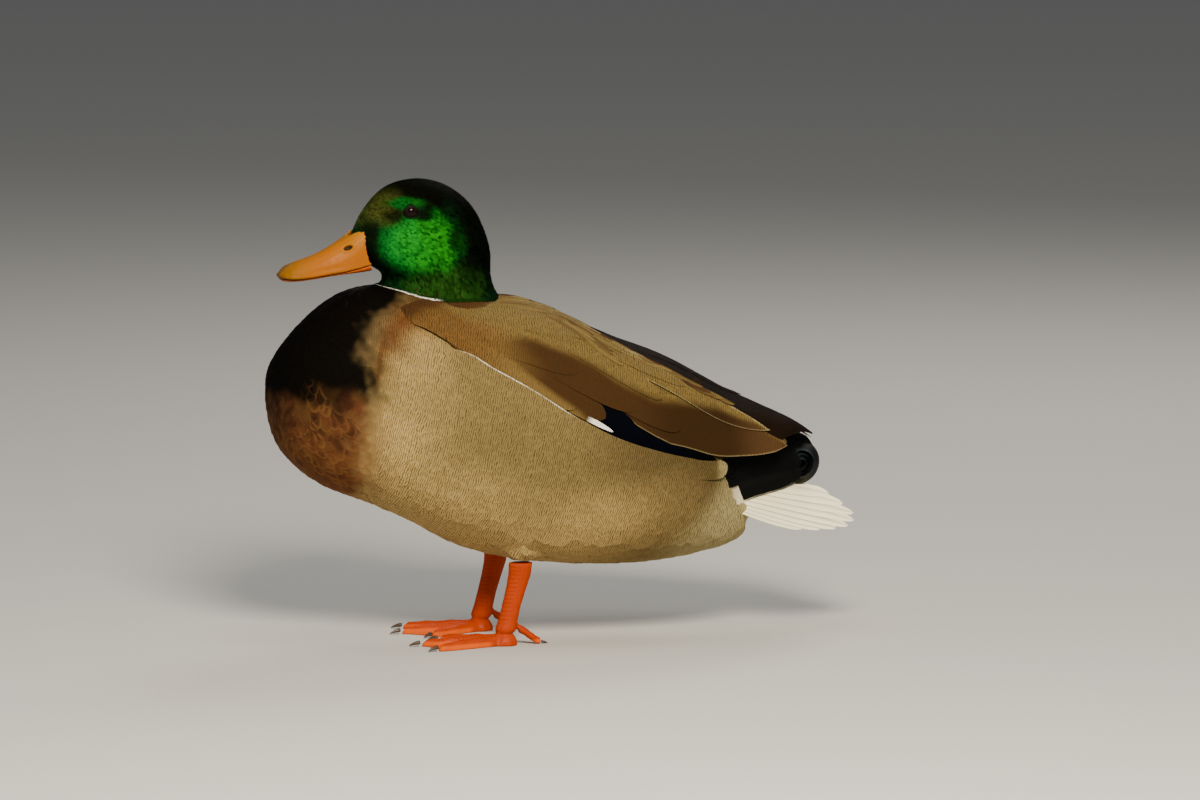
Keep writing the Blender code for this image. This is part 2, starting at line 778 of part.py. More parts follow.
def make_curls():
    y0, z0 = CURL_CENTRE
    for side, side_name in ((1, "left"), (-1, "right")):
        rings = []
        for gone in spread(0, 1, 12):
            angle = math.radians(blend(*CURL_TURN, gone))
            radius = blend(*CURL_RADII, gone)
            width = blend(*CURL_WIDTHS, gone * gone)
            ring = []
            for x, away in CURL_SECTION:
                reach = radius + CURL_THICKNESS * away
                ring.append((
                    side * (CURL_X + x * width),
                    y0 + reach * math.cos(angle),
                    z0 + reach * math.sin(angle),
                ))
            rings.append(ring)
        loft(f"tail_curl_{side_name}", rings, "black")


def main():
    start()
    trunk_room = make_body()
    head, head_room = make_head(trunk_room)
    make_bill(head_room)
    for side, side_name in ((1, "left"), (-1, "right")):
        make_eye(side, side_name, head)
        make_wing(side, side_name)
        make_leg(side, side_name, trunk_room)
    make_tail(trunk_room)
    make_curls()


main()
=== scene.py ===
import math
import bmesh
import bpy
import numpy as np
from mathutils import Matrix, Vector
from mathutils.bvhtree import BVHTree
from mathutils.kdtree import KDTree


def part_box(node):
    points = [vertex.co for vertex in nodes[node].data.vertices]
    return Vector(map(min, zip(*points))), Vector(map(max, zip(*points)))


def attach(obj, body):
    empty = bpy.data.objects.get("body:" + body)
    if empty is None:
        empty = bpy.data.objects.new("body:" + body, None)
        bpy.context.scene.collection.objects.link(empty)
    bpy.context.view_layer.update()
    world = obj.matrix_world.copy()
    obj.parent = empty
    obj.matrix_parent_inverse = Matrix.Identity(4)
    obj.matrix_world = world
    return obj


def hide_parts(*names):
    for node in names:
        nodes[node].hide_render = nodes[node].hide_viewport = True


# A mallard drake, standing. It faces -Y, and its left side is +X. Millimetres are measured
# from the floor between the foot joints, and fromFeet() turns them into the frame's metres.
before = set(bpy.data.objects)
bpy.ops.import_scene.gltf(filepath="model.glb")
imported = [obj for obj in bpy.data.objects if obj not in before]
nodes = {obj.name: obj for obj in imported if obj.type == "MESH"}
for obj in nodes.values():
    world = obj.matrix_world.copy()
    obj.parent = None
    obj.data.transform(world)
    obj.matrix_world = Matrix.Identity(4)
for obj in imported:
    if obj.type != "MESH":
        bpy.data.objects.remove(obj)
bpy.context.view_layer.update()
sides = {"left": 1, "right": -1}
middleY = 31.4     # mm from the middle of the duck back to its foot joints


def fromFeet(points):
    return (np.asarray(points, float) - (0, middleY, 0)) * .001


def toFeet(points):
    return np.asarray(points, float) * 1000 + (0, middleY, 0)


def ramp(value, low, high):    # 0 below low, 1 above high, smooth between
    share = np.clip((value - low) / (high - low), 0, 1)
    return share * share * (3 - 2 * share)


def unit(vectors):
    return vectors / np.maximum(np.linalg.norm(vectors, axis=-1, keepdims=True), 1e-12)


def colour(red, green, blue):    # screen values 0 to 255, as linear light
    share = np.array((red, green, blue)) / 255
    return np.where(share <= .04045, share / 12.92, ((share + .055) / 1.055) ** 2.4)


def mixed(first, second, share):
    return first + (second - first) * np.asarray(share)[..., None]


def newPiece(name, mesh, material, replaced=()):
    piece = bpy.data.objects.new(name, mesh)
    bpy.context.scene.collection.objects.link(piece)
    mesh.materials.clear()
    mesh.materials.append(material)
    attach(piece, "root")
    if replaced:
        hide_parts(*replaced)
    return piece


class NodeKit:    # short calls for the nodes that every material needs
    def __init__(self, tree):
        self.tree = tree

    def put(self, value, socket):
        if isinstance(value, bpy.types.NodeSocket):
            self.tree.links.new(value, socket)
        else:
            socket.default_value = value

    def add(self, kind, inputs=None, **settings):
        node = self.tree.nodes.new(kind)
        for name, value in settings.items():
            setattr(node, name, value)
        for name, value in (inputs or {}).items():
            self.put(value, node.inputs[name])
        return node

    def math(self, operation, first, second=0., third=0.):
        inputs = {0: first, 1: second, 2: third}
        return self.add("ShaderNodeMath", inputs, operation=operation).outputs[0]

    def blend(self, share, first, second):
        inputs = {0: share, 6: first, 7: second}
        return self.add("ShaderNodeMix", inputs, data_type="RGBA").outputs[2]

    def scaled(self, tone, share):
        inputs = {0: tone, "Scale": share}
        return self.add("ShaderNodeVectorMath", inputs, operation="SCALE").outputs[0]

    def apart(self, vector):
        return self.add("ShaderNodeSeparateXYZ", {0: vector}).outputs

    def place(self):
        return self.add("ShaderNodeTexCoord").outputs["Object"]

    def dent(self, height, strength, distance, normal):
        inputs = {"Strength": strength, "Distance": distance, "Height": height}
        self.put(self.add("ShaderNodeBump", inputs).outputs[0], normal)

    def between(self, value, low, high, first=0., second=1.):
        inputs = {"Value": value, "From Min": low, "From Max": high, "To Min": first, "To Max": second}
        return self.add("ShaderNodeMapRange", inputs, interpolation_type="SMOOTHSTEP").outputs[0]

    def noise(self, vector, scale, detail=2., distortion=0.):
        inputs = {"Vector": vector, "Scale": scale, "Detail": detail, "Distortion": distortion}
        return self.add("ShaderNodeTexNoise", inputs).outputs["Fac"]

    def attribute(self, name, output):
        return self.add("ShaderNodeAttribute", attribute_name=name).outputs[output]


def newGroup(name, inputs, outputs):
    tree = bpy.data.node_groups.new(name, "ShaderNodeTree")
    for direction, sockets in (("INPUT", inputs), ("OUTPUT", outputs)):
        for label, (kind, value) in sockets.items():
            socket = tree.interface.new_socket(label, in_out=direction, socket_type="NodeSocket" + kind)
            if value is not None:
                socket.default_value = value
    kit = NodeKit(tree)
    return kit, kit.add("NodeGroupInput").outputs, kit.add("NodeGroupOutput").inputs


def setSockets(sockets, values):
    for label, value in values.items():
        sockets[label].default_value = value


def newMaterial(name):
    material = bpy.data.materials.new(name)
    material.use_nodes = True
    kit = NodeKit(material.node_tree)
    return material, kit, material.node_tree.nodes["Principled BSDF"].inputs


vaneDefaults = {    # widths and pitches in mm
    "Edge Width": .5, "Line Pitch": 1.3, "Line Depth": .5, "Barb Pitch": .5, "Barb Contrast": .12,
    "Spread": .2, "Shaft": .3,
}


vaneLook = {    # each noise has a scale, and a strength where it bends something
    "slant": .9,                # how much the barbs lean towards the tip
    "jitter": (.6, 9.),         # of the barbs, in the vane's own mm
    "lean": 250.,               # of the cross-lines, down the body
    "wobbles": ((60., 2., .3, 3.), (420., 1., 0., 1.3)),    # scale, detail, distortion, strength
    "line": (-.5, .6), "breaks": (480., .3, .58, .25),
    "ragged": .5, "widths": (.9, .55), "inner": .25,    # of the fringe
    "quill": (.12, .34),        # half width in mm, sharp and soft
    "heights": (2., .5),        # of the shaft and the barbs
}


def buildVaneGroup():    # one feather's barbs, shaft, fringe and fine cross-lines
    inputs = {label: ("Color", (grey, grey, grey, 1))
              for label, grey in (("Tone", .5), ("Edge Tone", .5), ("Line Tone", .1))}
    inputs |= {label: ("Vector", None) for label in ("Vane", "Shape", "Place")}
    inputs |= {label: ("Float", value) for label, value in vaneDefaults.items()}
    outputs = {"Color": ("Color", None), "Height": ("Float", None), "Random": ("Float", None)}
    kit, given, made = newGroup("featherVane", inputs, outputs)
    vane, shape = kit.apart(given["Vane"]), kit.apart(given["Shape"])
    across, along, chance = vane[0], vane[1], vane[2]
    away = kit.math("ABSOLUTE", across)
    # barbs run out and towards the tip
    scale, bend = vaneLook["jitter"]
    slant = kit.math("SUBTRACT", along, kit.math("MULTIPLY", away, vaneLook["slant"]))
    turns = kit.math("MULTIPLY", kit.math("DIVIDE", slant, given["Barb Pitch"]), 2 * math.pi)
    jitter = kit.noise(given["Vane"], scale)
    barb = kit.math("SINE", kit.math("ADD", turns, kit.math("MULTIPLY", jitter, bend)))
    # fine wavy lines across the lie, which run on from one vane to the next
    place = kit.apart(given["Place"])
    lie = kit.math("MULTIPLY", place[2], vaneLook["lean"])
    lie = kit.math("SUBTRACT", kit.math("MULTIPLY", place[1], 1000.), lie)
    wobble = 0.
    for scale, detail, distortion, strength in vaneLook["wobbles"]:
        noise = kit.noise(given["Place"], scale, detail, distortion)
        wobble = kit.math("MULTIPLY_ADD", noise, strength, wobble)
    bands = kit.math("ADD", kit.math("DIVIDE", lie, given["Line Pitch"]), wobble)
    line = kit.between(kit.math("SINE", kit.math("MULTIPLY", bands, 2 * math.pi)), *vaneLook["line"])
    scale, low, high, least = vaneLook["breaks"]
    broken = kit.between(kit.noise(given["Place"], scale, 2.), low, high, least, 1.)
    line = kit.math("MULTIPLY", kit.math("MULTIPLY", line, broken), shape[2])
    line = kit.math("MULTIPLY", line, given["Line Depth"])
    # a fringe round the rim, which lies so many mm away
    ragged = kit.math("MULTIPLY_ADD", kit.math("SUBTRACT", jitter, .5), vaneLook["ragged"], shape[0])
    width = kit.math("MULTIPLY", given["Edge Width"], kit.math("MULTIPLY_ADD", chance, *vaneLook["widths"]))
    fringe = kit.between(ragged, kit.math("MULTIPLY", width, vaneLook["inner"]), width, 1., 0.)
    quill = kit.math("MULTIPLY", kit.between(away, *vaneLook["quill"], 1., 0.), given["Shaft"])
    tone = kit.blend(fringe, given["Tone"], given["Edge Tone"])
    tone = kit.blend(line, tone, given["Line Tone"])
    tone = kit.blend(quill, tone, given["Line Tone"])
    lit = kit.math("MULTIPLY_ADD", barb, given["Barb Contrast"], 1.)
    lit = kit.math("MULTIPLY_ADD", kit.math("SUBTRACT", chance, .5), given["Spread"], lit)
    kit.put(kit.scaled(tone, lit), made["Color"])
    high, low = vaneLook["heights"]
    kit.put(kit.math("MULTIPLY_ADD", quill, high, kit.math("MULTIPLY", barb, low)), made["Height"])
    kit.put(chance, made["Random"])
    return kit.tree


vaneGroup = buildVaneGroup()
satin = {"Specular IOR Level": .09}
matt = {"Specular IOR Level": .01}


def plumage(name, roughness, detail, glossSpread=0., bump=.3, shader=matt):
    material, kit, sockets = newMaterial(name)
    group = kit.add("ShaderNodeGroup", node_tree=vaneGroup)
    for attribute, label, output in (("tone", "Tone", "Color"), ("edge", "Edge Tone", "Color"),
                                     ("line", "Line Tone", "Color"), ("vane", "Vane", "Vector"),
                                     ("shape", "Shape", "Vector")):
        kit.put(kit.attribute(attribute, output), group.inputs[label])
    kit.put(kit.place(), group.inputs["Place"])
    setSockets(group.inputs, detail)
    kit.put(group.outputs["Color"], sockets["Base Color"])
    spread = kit.math("SUBTRACT", group.outputs["Random"], .5)
    kit.put(kit.math("MULTIPLY_ADD", spread, glossSpread, roughness), sockets["Roughness"])
    setSockets(sockets, shader)
    kit.dent(group.outputs["Height"], bump, .0002, sockets["Normal"])
    return material


skinLook = {    # every feathered node as one smooth body, sunk by the coat's depth; metres
    "grow": .0006,       # closes the thin cuts between the nodes
    "voxel": .0016, "smoothing": 14, "lastSmoothing": 3,
    "depth": .0021,      # of the coat over the body
    "headDepth": .0012,  # and over the head and the thighs, from and up to these levels in mm
    "headFrom": (205, 225), "thighsTo": (-66, -56),
    "mostOfThickness": .36, "probe": .0003, "farthest": .03,
}
fleshNodes = ["head", "neck", "collar", "breast", "trunk", "rump", "undertail"]
wingNodes = ["scapulars", "wing_coverts", "upper_wing_band", "secondaries", "tertials", "primaries"]
pairedFlesh = [f"{part}_{side}" for part in ["thigh", *wingNodes] for side in sides]
feathered = fleshNodes + pairedFlesh


def meshFrom(bm, name):
    mesh = bpy.data.meshes.new(name)
    bm.to_mesh(mesh)
    bm.free()
    return mesh


def setPoints(mesh, points):
    mesh.vertices.foreach_set("co", points.astype(np.float32).ravel())


def mergedCopy(name):    # a bmesh of a CAD node, with its loose triangles joined
    bm = bmesh.new()
    bm.from_mesh(nodes[name].data)
    bmesh.ops.remove_doubles(bm, verts=bm.verts, dist=1e-6)
    bm.normal_update()
    return bm


def remeshed(bm, voxel, smoothing):    # voxel remesh and smooth, applied
    holder = bpy.data.objects.new("remeshed", meshFrom(bm, "remeshed"))
    bpy.context.scene.collection.objects.link(holder)
    remesh = holder.modifiers.new("remesh", "REMESH")
    remesh.mode = "VOXEL"
    remesh.voxel_size = voxel
    smooth = holder.modifiers.new("smooth", "SMOOTH")
    smooth.factor = .5
    smooth.iterations = smoothing
    graph = bpy.context.evaluated_depsgraph_get()
    result = bpy.data.meshes.new_from_object(holder.evaluated_get(graph))
    bpy.data.objects.remove(holder)
    return result


def grownCopy(names, grow, voxel, smoothing):    # CAD nodes, grown a little, as one fine mesh
    shell = bmesh.new()
    for name in names:
        part = mergedCopy(name)
        for vertex in part.verts:
            vertex.co += vertex.normal * grow
        shell.from_mesh(meshFrom(part, name))
    return remeshed(shell, voxel, smoothing)


def arraysOf(mesh):    # points and normals
    found = []
    for label in ("co", "normal"):
        values = np.empty(len(mesh.vertices) * 3)
        mesh.vertices.foreach_get(label, values)
        found.append(values.reshape(-1, 3))
    return found


def treeOf(mesh, points):
    faces = [tuple(face.vertices) for face in mesh.polygons]
    return BVHTree.FromPolygons([tuple(point) for point in points], faces), faces


def makeSkin():
    look = skinLook
    mesh = grownCopy(feathered + ["eye_left", "eye_right"], look["grow"], look["voxel"], look["smoothing"])
    points, normals = arraysOf(mesh)
    tree, faces = treeOf(mesh, points)
    far = look["farthest"]
    through = np.array([tree.ray_cast(Vector(point - normal * look["probe"]), Vector(-normal), far)[3] or far
                        for point, normal in zip(points, normals)])
    level = toFeet(points)[:, 2]
    thin = np.maximum(ramp(level, *look["headFrom"]), ramp(-level, *look["thighsTo"]))
    depth = look["grow"] + look["depth"] + (look["headDepth"] - look["depth"]) * thin
    depth = np.minimum(depth, look["mostOfThickness"] * through)
    setPoints(mesh, points - normals * depth[:, None])
    bm = bmesh.new()
    bm.from_mesh(mesh)
    every = dict.fromkeys(("use_axis_x", "use_axis_y", "use_axis_z"), True)
    for _ in range(look["lastSmoothing"]):
        bmesh.ops.smooth_vert(bm, verts=bm.verts, factor=.5, **every)
    bmesh.ops.recalc_face_normals(bm, faces=bm.faces)
    bm.to_mesh(mesh)
    bm.free()
    mesh.shade_smooth()
    return mesh


def unwrapSkin(piece):    # the coat's tufts sit at their roots' places on this unwrap
    bpy.context.view_layer.objects.active = piece
    piece.select_set(True)
    bpy.ops.object.mode_set(mode="EDIT")
    bpy.ops.mesh.select_all(action="SELECT")
    piece.data.uv_layers.new(name="OFBake")
    bpy.ops.uv.smart_project(angle_limit=math.radians(60), island_margin=.004)
    bpy.ops.object.mode_set(mode="OBJECT")
    piece.select_set(False)


skinMesh = makeSkin()
skinPoints, skinNormals = arraysOf(skinMesh)
skinTree, skinFaces = treeOf(skinMesh, skinPoints)
skinCorners = np.array([face if len(face) == 4 else face + face[-1:] for face in skinFaces])
skinFaceNormals = unit(skinNormals[skinCorners].mean(1))
print("skin", len(skinMesh.vertices), "points")


def settle(points):    # the skin's nearest points, its smooth normals and its faces there
    hits = [skinTree.find_nearest(point) for point in points.tolist()]
    places = np.array([hit[0][:] for hit in hits])
    faces = np.array([hit[2] for hit in hits])
    return places, skinFaceNormals[faces], faces


palette = {    # shared by the skin and the coat
    "green": colour(24, 116, 22), "blueGreen": colour(8, 113, 36), "deepGreen": colour(4, 34, 12),
    "headBlack": colour(3, 5, 3), "olive": colour(64, 70, 26), "white": colour(240, 234, 218),
    "chestnut": colour(56, 31, 19), "breastShadow": colour(8, 6, 4), "russet": colour(94, 55, 31),
    "nape": colour(54, 31, 17), "buff": colour(124, 88, 46),
    "flank": colour(114, 97, 58), "flankLine": colour(50, 37, 19), "belly": colour(176, 148, 92),
    "cream": colour(168, 153, 106), "mantle": colour(66, 46, 27), "brown": colour(57, 38, 19),
    "darkBrown": colour(22, 14, 8), "black": colour(4, 4, 4), "scapular": colour(107, 88, 47),
    "speculum": colour(3, 4, 9), "tail": colour(253, 243, 206), "tailGrey": colour(104, 92, 68),
    "rust": colour(86, 48, 19), "mottle": colour(72, 52, 33), "paintedSheen": colour(34, 42, 46),
}


def layered(tone, *coats):    # colours laid over a tone, one after another, each by its share
    for over, share in coats:
        tone = mixed(tone, palette[over] if isinstance(over, str) else over, share)
    return tone


def between(first, last, share):    # two colours of the palette
    return mixed(palette[first], palette[last], share)


def ripple(feet, pitch, seed):    # soft even noise, about -1 to 1
    rng = np.random.default_rng(seed)
    total = np.zeros(len(feet))
    for _ in range(6):
        wave = unit(rng.normal(size=3)) * 2 * math.pi / pitch / rng.uniform(.7, 1.5)
        total += np.sin(feet @ wave + rng.uniform(0, 6.3))
    return total / 2.4


headPatches = {    # middle and half sizes (y, z), raggedness, and where each fades out
    "cheek": ((-52, 229), (26, 18), .08, (.55, 1.15)),
    "under": ((-40, 205), (26, 16), .12, (.5, 1.25)),
    "brow": ((-61.5, 251.8), (12.5, 3.8), .1, (.6, 1.1)),
    "ear": ((-34, 231.5), (4.5, 8.5), .1, (.6, 1.1)),
    "lore": ((-69, 244.8), (6.5, 4.4), .15, (.35, 1.25)),
    "behind": ((-53, 245), (7, 3.6), .1, (.6, 1.1)),
}


def headTone(feet):
    x, y, z = np.abs(feet[:, 0]), feet[:, 1], feet[:, 2]
    noise = ripple(feet, 14, 3)
    cheek, under, brow, ear, lore, behind = (
        1 - ramp(np.linalg.norm((feet[:, 1:] - middle) / half, axis=1) + noise * rough, *fade)
        for middle, half, rough, fade in headPatches.values())
    # painted highlight: the head's green gloss is painted bright on the cheek, under it and over the eye
    green = np.maximum(cheek, np.maximum(under * .2, brow * .4)) * ramp(x, 6, 13)
    front = ramp(-y, 60, 74) * ramp(z, 236, 246) * (1 - brow)
    rear = ramp(y, -38, -24) * ramp(z, 200, 218)
    mask = (1 - ramp(np.abs(y + 81), 2, 6)) * (1 - ramp(z, 238, 246)) * ramp(z, 208, 214)
    return layered(
        # painted shade: darker towards the crown
        between("headBlack", "deepGreen", ramp(262 - z + noise * 3, 4, 26)),
        (between("blueGreen", "green", ramp(y + noise * 4, -80, -38)), green),
        (palette["olive"] * .5, under * (1 - cheek) * .3),
        ("olive", front * .75),
        # painted shade: the nape and the crown painted black over the green
        ("headBlack", np.maximum(rear * .9, ramp(z, 254, 262) * .8)),
        # painted shade: black by the bill, on the lores, behind the eye and at the ear
        ("headBlack", np.maximum.reduce([mask * .85, lore * .85, behind * .85, ear * .8])))


def flankTone(feet):
    y, z = feet[:, 1:].T
    noise = ripple(feet, 60, 9)
    tone = between("belly", "flank", ramp(z + noise * 8 + y * .15, 62, 116))
    # paler towards the front and darker towards the rear
    tone = mixed(tone, palette["belly"] * 1.05, ramp(-y + noise * 10, 36, 84) * .8)
    tone = tone * (1 - .5 * ramp(y + noise * 6, 10, 88))[:, None]
    return layered(tone, ("cream", ramp(y + noise * 5 + (84 - z) * .8, 104, 132)),
                   ("cream", ramp(y - flankEnd(z) + noise, -7, -1) * .6))


breastBorder = ((132, 146, 158, 172, 186, 193, 198, 204),    # z, and the y there
                (-93, -87, -88, -92, -88, -79, -66, -54))


def breastShare(feet):    # 1 on the dark breast, 0 on the flank
    y, z = feet[:, 1], feet[:, 2]
    border = np.interp(z, *breastBorder)
    return 1 - ramp(y + ripple(feet, 16, 2) * 2.5 + ripple(feet, 5, 7) * 1.5, border - 8, border + 15)


rustBand = ((-86, -82, -70, -33, -10), (160, 174, 189, 200, 206))    # y, z, from the shoulder to the nape


def bodyTone(feet):    # breast, shoulder and flank
    y, z = feet[:, 1], feet[:, 2]
    noise = ripple(feet, 22, 5)
    shoulder = ramp(z + noise * 4, 158, 178) * (1 - ramp(y, -76, -58))
    away = z - np.interp(y, *rustBand) + noise
    band = np.exp(-(away / 9) ** 2) * ramp(y, -94, -84) * (1 - ramp(y, -30, 0))
    breast = layered(
        between("russet", "chestnut", ramp(z + ripple(feet, 9, 14) * 16, 96, 140)),
        (palette["buff"] * .7, ramp(ripple(feet, 12, 15), -.2, .9) * .45),
        # painted shadow: the head's shadow, near black over the top of the breast's chestnut
        ("breastShadow", ramp(z + noise * 5, 136, 152)))
    return layered(flankTone(feet), ("mottle", shoulder * .7), ("rust", band * .95),
                   ("nape", ramp(z + noise * 3, 188, 195) * ramp(y, -66, -50) * .85),
                   (breast, breastShare(feet)))


shadedBack = ((0, 20, 60, 110, 150), (0, 10, 24, 34, 28))    # y, and the half width of the back's middle, painted dark brown as shade between the wings
zoneLabels = ("head", "neck", "breast", "trunk", "thigh", "rump", "undertail", "wing", "tailside")


def markings(feet, zones):    # tone, edge tone, line tone and strength of the fine lines
    at = {label: np.char.startswith(zones, label) for label in zoneLabels}
    green = at["head"] | at["neck"]
    dark = at["rump"] | at["undertail"]
    body = at["breast"] | at["trunk"] | at["thigh"]
    x, y, z = np.abs(feet[:, 0]), feet[:, 1], feet[:, 2]
    tone = bodyTone(feet)
    tone[green] = headTone(feet[green])
    tone[at["tailside"]] = between("cream", "tail", ramp(y, 120, 132))[at["tailside"]]
    tone[dark] = palette["black"]
    tone[at["wing"]] = (palette["scapular"] + palette["mantle"]) / 2
    # painted shade: the back between the wings is painted dark brown
    tone[(x < np.interp(y, *shadedBack)) & (z > 118) & (y > 5) & ~green] = palette["darkBrown"]
    fluff = dark & (z > 60) & (z < 84) & (y > 116) & (y < 146)    # pale sides of the tail's base
    tone[fluff & (x > 10)] = palette["cream"]
    edge = tone * 1.04
    breast = breastShare(feet) * body
    pale = (1 - ramp(z + ripple(feet, 30, 11) * 8, 112, 146)) * breast
    blush = (palette["buff"] + palette["russet"]) / 2
    edge = mixed(edge, blush, pale * (.25 + .6 * ramp(ripple(feet, 8, 21), -.4, .5)))
    edge[green] = tone[green] * 1.4
    edge[dark & ~fluff] = palette["black"] * 1.6
    strength = (1 - breast) * ramp(y, -96, -82)
    strength[green | dark | at["tailside"]] = 0
    return tone, edge, np.tile(palette["flankLine"], (len(feet), 1)), strength


def buildZoneTree():    # which CAD node lies nearest
    points, faces, owners = [], [], []
    for name in feathered:
        part = mergedCopy(name)
        start = len(points)
        part.verts.index_update()
        points += [tuple(vertex.co) for vertex in part.verts]
        faces += [tuple(start + vertex.index for vertex in face.verts) for face in part.faces]
        label = "wing" if name.rsplit("_", 1)[0] in wingNodes else name
        owners += [label] * len(part.faces)
        part.free()
    return BVHTree.FromPolygons(points, faces), np.array(owners, "U16")


zoneTree, zoneOwners = buildZoneTree()


tailSide = (74, 85.5)    # levels between which the tail's outer feathers cover its base
collarLine = ((-84, -64, -54, -40, -26, -8), (209, 204.5, 201.5, 199.5, 199.5, 197.5))    # y, z
neckRoots = 1.    # mm above that line, where the neck's lowest feathers grow


def flankEnd(z):    # where the flank stops and the black begins
    return np.interp(z, (60, 86, 100), (138, 122.5, 117))


def zonesAt(points):
    zones = zoneOwners[[zoneTree.find_nearest(point)[2] for point in points.tolist()]]
    y, z = toFeet(points)[:, 1:].T
    zones[(zones == "trunk") & (y > flankEnd(z) - 2)] = "rump"
    rear = np.isin(zones, ("rump", "undertail")) & (y > 119)
    low, high = tailSide
    zones[rear & (z < high) & (z > low - (y - 128) * .47)] = "tailside"
    above = z - np.interp(y, *collarLine)
    throat = np.isin(zones, ("neck", "collar"))
    zones[throat] = "neck"
    zones[throat & (above < neckRoots)] = "breast"
    return zones


def paint(mesh, name, values):
    kind, field = ("FLOAT_VECTOR", "vector") if name in ("vane", "shape") else ("FLOAT_COLOR", "color")
    if field == "color":
        values = np.hstack([values, np.ones((len(values), 1))])
    layer = mesh.attributes.new(name, kind, "POINT")
    layer.data.foreach_set(field, values.astype(np.float32).ravel())


toneNames = ("tone", "edge", "line")
underCoat = {"darker": .8, "lines": .4, "rim": 5}    # the skin against its coat, painted darker as the shade under the feathers; no fringe shows on it


def dressSkin():
    feet = toFeet(skinPoints)
    *tones, strength = markings(feet, zonesAt(skinPoints))
    for name, values in zip(toneNames, tones):
        # painted shade: the skin is darker than the feathers over it
        paint(skinMesh, name, values * underCoat["darker"])
    some = np.ones(len(feet))
    paint(skinMesh, "vane", np.stack([feet[:, 0], feet[:, 1], some * .5], 1))
    paint(skinMesh, "shape", np.stack([some * underCoat["rim"], some * 0, strength * underCoat["lines"]], 1))
    material = plumage("skinPlumage", .9, {}, shader={"Specular IOR Level": .08})
    unwrapSkin(newPiece("skin", skinMesh, material, feathered))


dressSkin()
unwrapped = np.empty(len(skinMesh.loops) * 2)
skinMesh.uv_layers["OFBake"].data.foreach_get("uv", unwrapped)
faceUv = unwrapped.reshape(-1, 2)[[face.loop_start for face in skinMesh.polygons]]
print("skin dressed")


# A vane is a thin closed blade, with a point at its root and one at its tip. Its template holds
# shares along and across it, the sheet (1 top, 0 rim, -1 under) and the triangles.
def vaneTemplate(rows, columns):
    places = [(0., 0., 0.)]
    grid = {}
    for row in range(1, rows):
        share = 1 - (1 - row / rows) ** 1.35
        for column in range(columns):
            side = column / (columns - 1) * 2 - 1
            inner = 0 < column < columns - 1
            grid[row, column, 1] = grid[row, column, -1] = len(places)
            places.append((share, side, float(inner)))
            if inner:
                grid[row, column, -1] = len(places)
                places.append((share, side, -1.))
    tip = len(places)
    places.append((1., 0., 0.))
    triangles = []
    for face in (1, -1):
        for column in range(columns - 1):
            strip = [(0, grid[1, column, face], grid[1, column + 1, face])]
            for row in range(1, rows - 1):
                a, b = grid[row, column, face], grid[row, column + 1, face]
                c, d = grid[row + 1, column + 1, face], grid[row + 1, column, face]
                strip += [(a, c, b), (a, d, c)]
            strip.append((tip, grid[rows - 1, column + 1, face], grid[rows - 1, column, face]))
            triangles += [corner[::-face] for corner in strip]
    return (*np.array(places).T, np.array(triangles))


def outline(along, blunt, neck=.2, start=.45, point=.5):    # half width down a vane, 0 at both points
    fall = np.clip((along - start) / (1 - start), 0, 1)
    return np.clip(along / neck, 0, 1) ** .6 * (1 - fall ** blunt) ** point


def joinedVanes(name, corners, normals, template, marks, uv, material, replaced=()):
    sheet, triangles = template[2:]
    count, size = corners.shape[:2]
    faces = (triangles[None] + (np.arange(count) * size)[:, None, None]).reshape(-1, 3)
    facing = np.tile(np.repeat((1, -1), len(triangles) // 2), count)
    flat, up = corners.reshape(-1, 3), normals.reshape(-1, 3)
    outward = np.cross(flat[faces[:, 1]] - flat[faces[:, 0]], flat[faces[:, 2]] - flat[faces[:, 0]])
    if ((outward * up[faces[:, 0]]).sum(1) * facing).sum() < 0:
        faces = faces[:, ::-1]
    mesh = bpy.data.meshes.new(name)
    mesh.vertices.add(count * size)
    setPoints(mesh, corners)
    mesh.loops.add(faces.size)
    mesh.loops.foreach_set("vertex_index", faces.astype(np.int32).ravel())
    mesh.polygons.add(len(faces))
    mesh.polygons.foreach_set("loop_start", np.arange(0, faces.size, 3, dtype=np.int32))
    mesh.update(calc_edges=True)
    mesh.shade_smooth()
    rim = np.tile(sheet == 0, count)    # the rim is crisp, and each sheet shades as the body under it
    ends = np.empty(len(mesh.edges) * 2, np.int32)
    mesh.edges.foreach_get("vertices", ends)
    crisp = mesh.attributes.new("sharp_edge", "BOOLEAN", "EDGE")
    crisp.data.foreach_set("value", rim[ends.reshape(-1, 2)].all(1))
    mesh.normals_split_custom_set((up[faces.ravel()] * np.repeat(facing, 3)[:, None]).astype(np.float32))
    for label, values in marks.items():
        paint(mesh, label, values.reshape(-1, 3))
    layer = mesh.uv_layers.new(name="OFBake")
    layer.data.foreach_set("uv", uv.reshape(-1, 2)[faces.ravel()].astype(np.float32).ravel())
    print(name, count, "vanes", len(faces), "triangles")
    return newPiece(name, mesh, material, replaced)


coatLook = {    # metres: length, half width, spacing, lift of the tip; then bluntness, rows and columns
    "head": (.0042, .00100, .00115, .00070, 1.6, 4, 3),
    "neck": (.0056, .00105, .00135, .00070, 1.5, 4, 3),
    "breast": (.0130, .00400, .00400, .00080, 2.2, 7, 5),
    "trunk": (.0220, .00640, .00560, .00100, 2.2, 8, 7),
    "wing": (.0150, .00500, .00540, .00070, 2.2, 6, 5),
    "rump": (.0140, .00420, .00420, .00130, 2.0, 6, 5),
    "tailside": (.0200, .00420, .00420, .00110, 1.8, 7, 5),
    "undertail": (.0140, .00400, .00400, .00130, 2.0, 6, 5),
    "thigh": (.0090, .00240, .00270, .00090, 1.8, 6, 5),
}
eyeCentres = [sum((Vector(corner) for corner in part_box(f"eye_{side}")), Vector()) / 2 for side in sides]
eyeLooks = [Vector((side, -.10, .02)).normalized() for side in sides.values()]


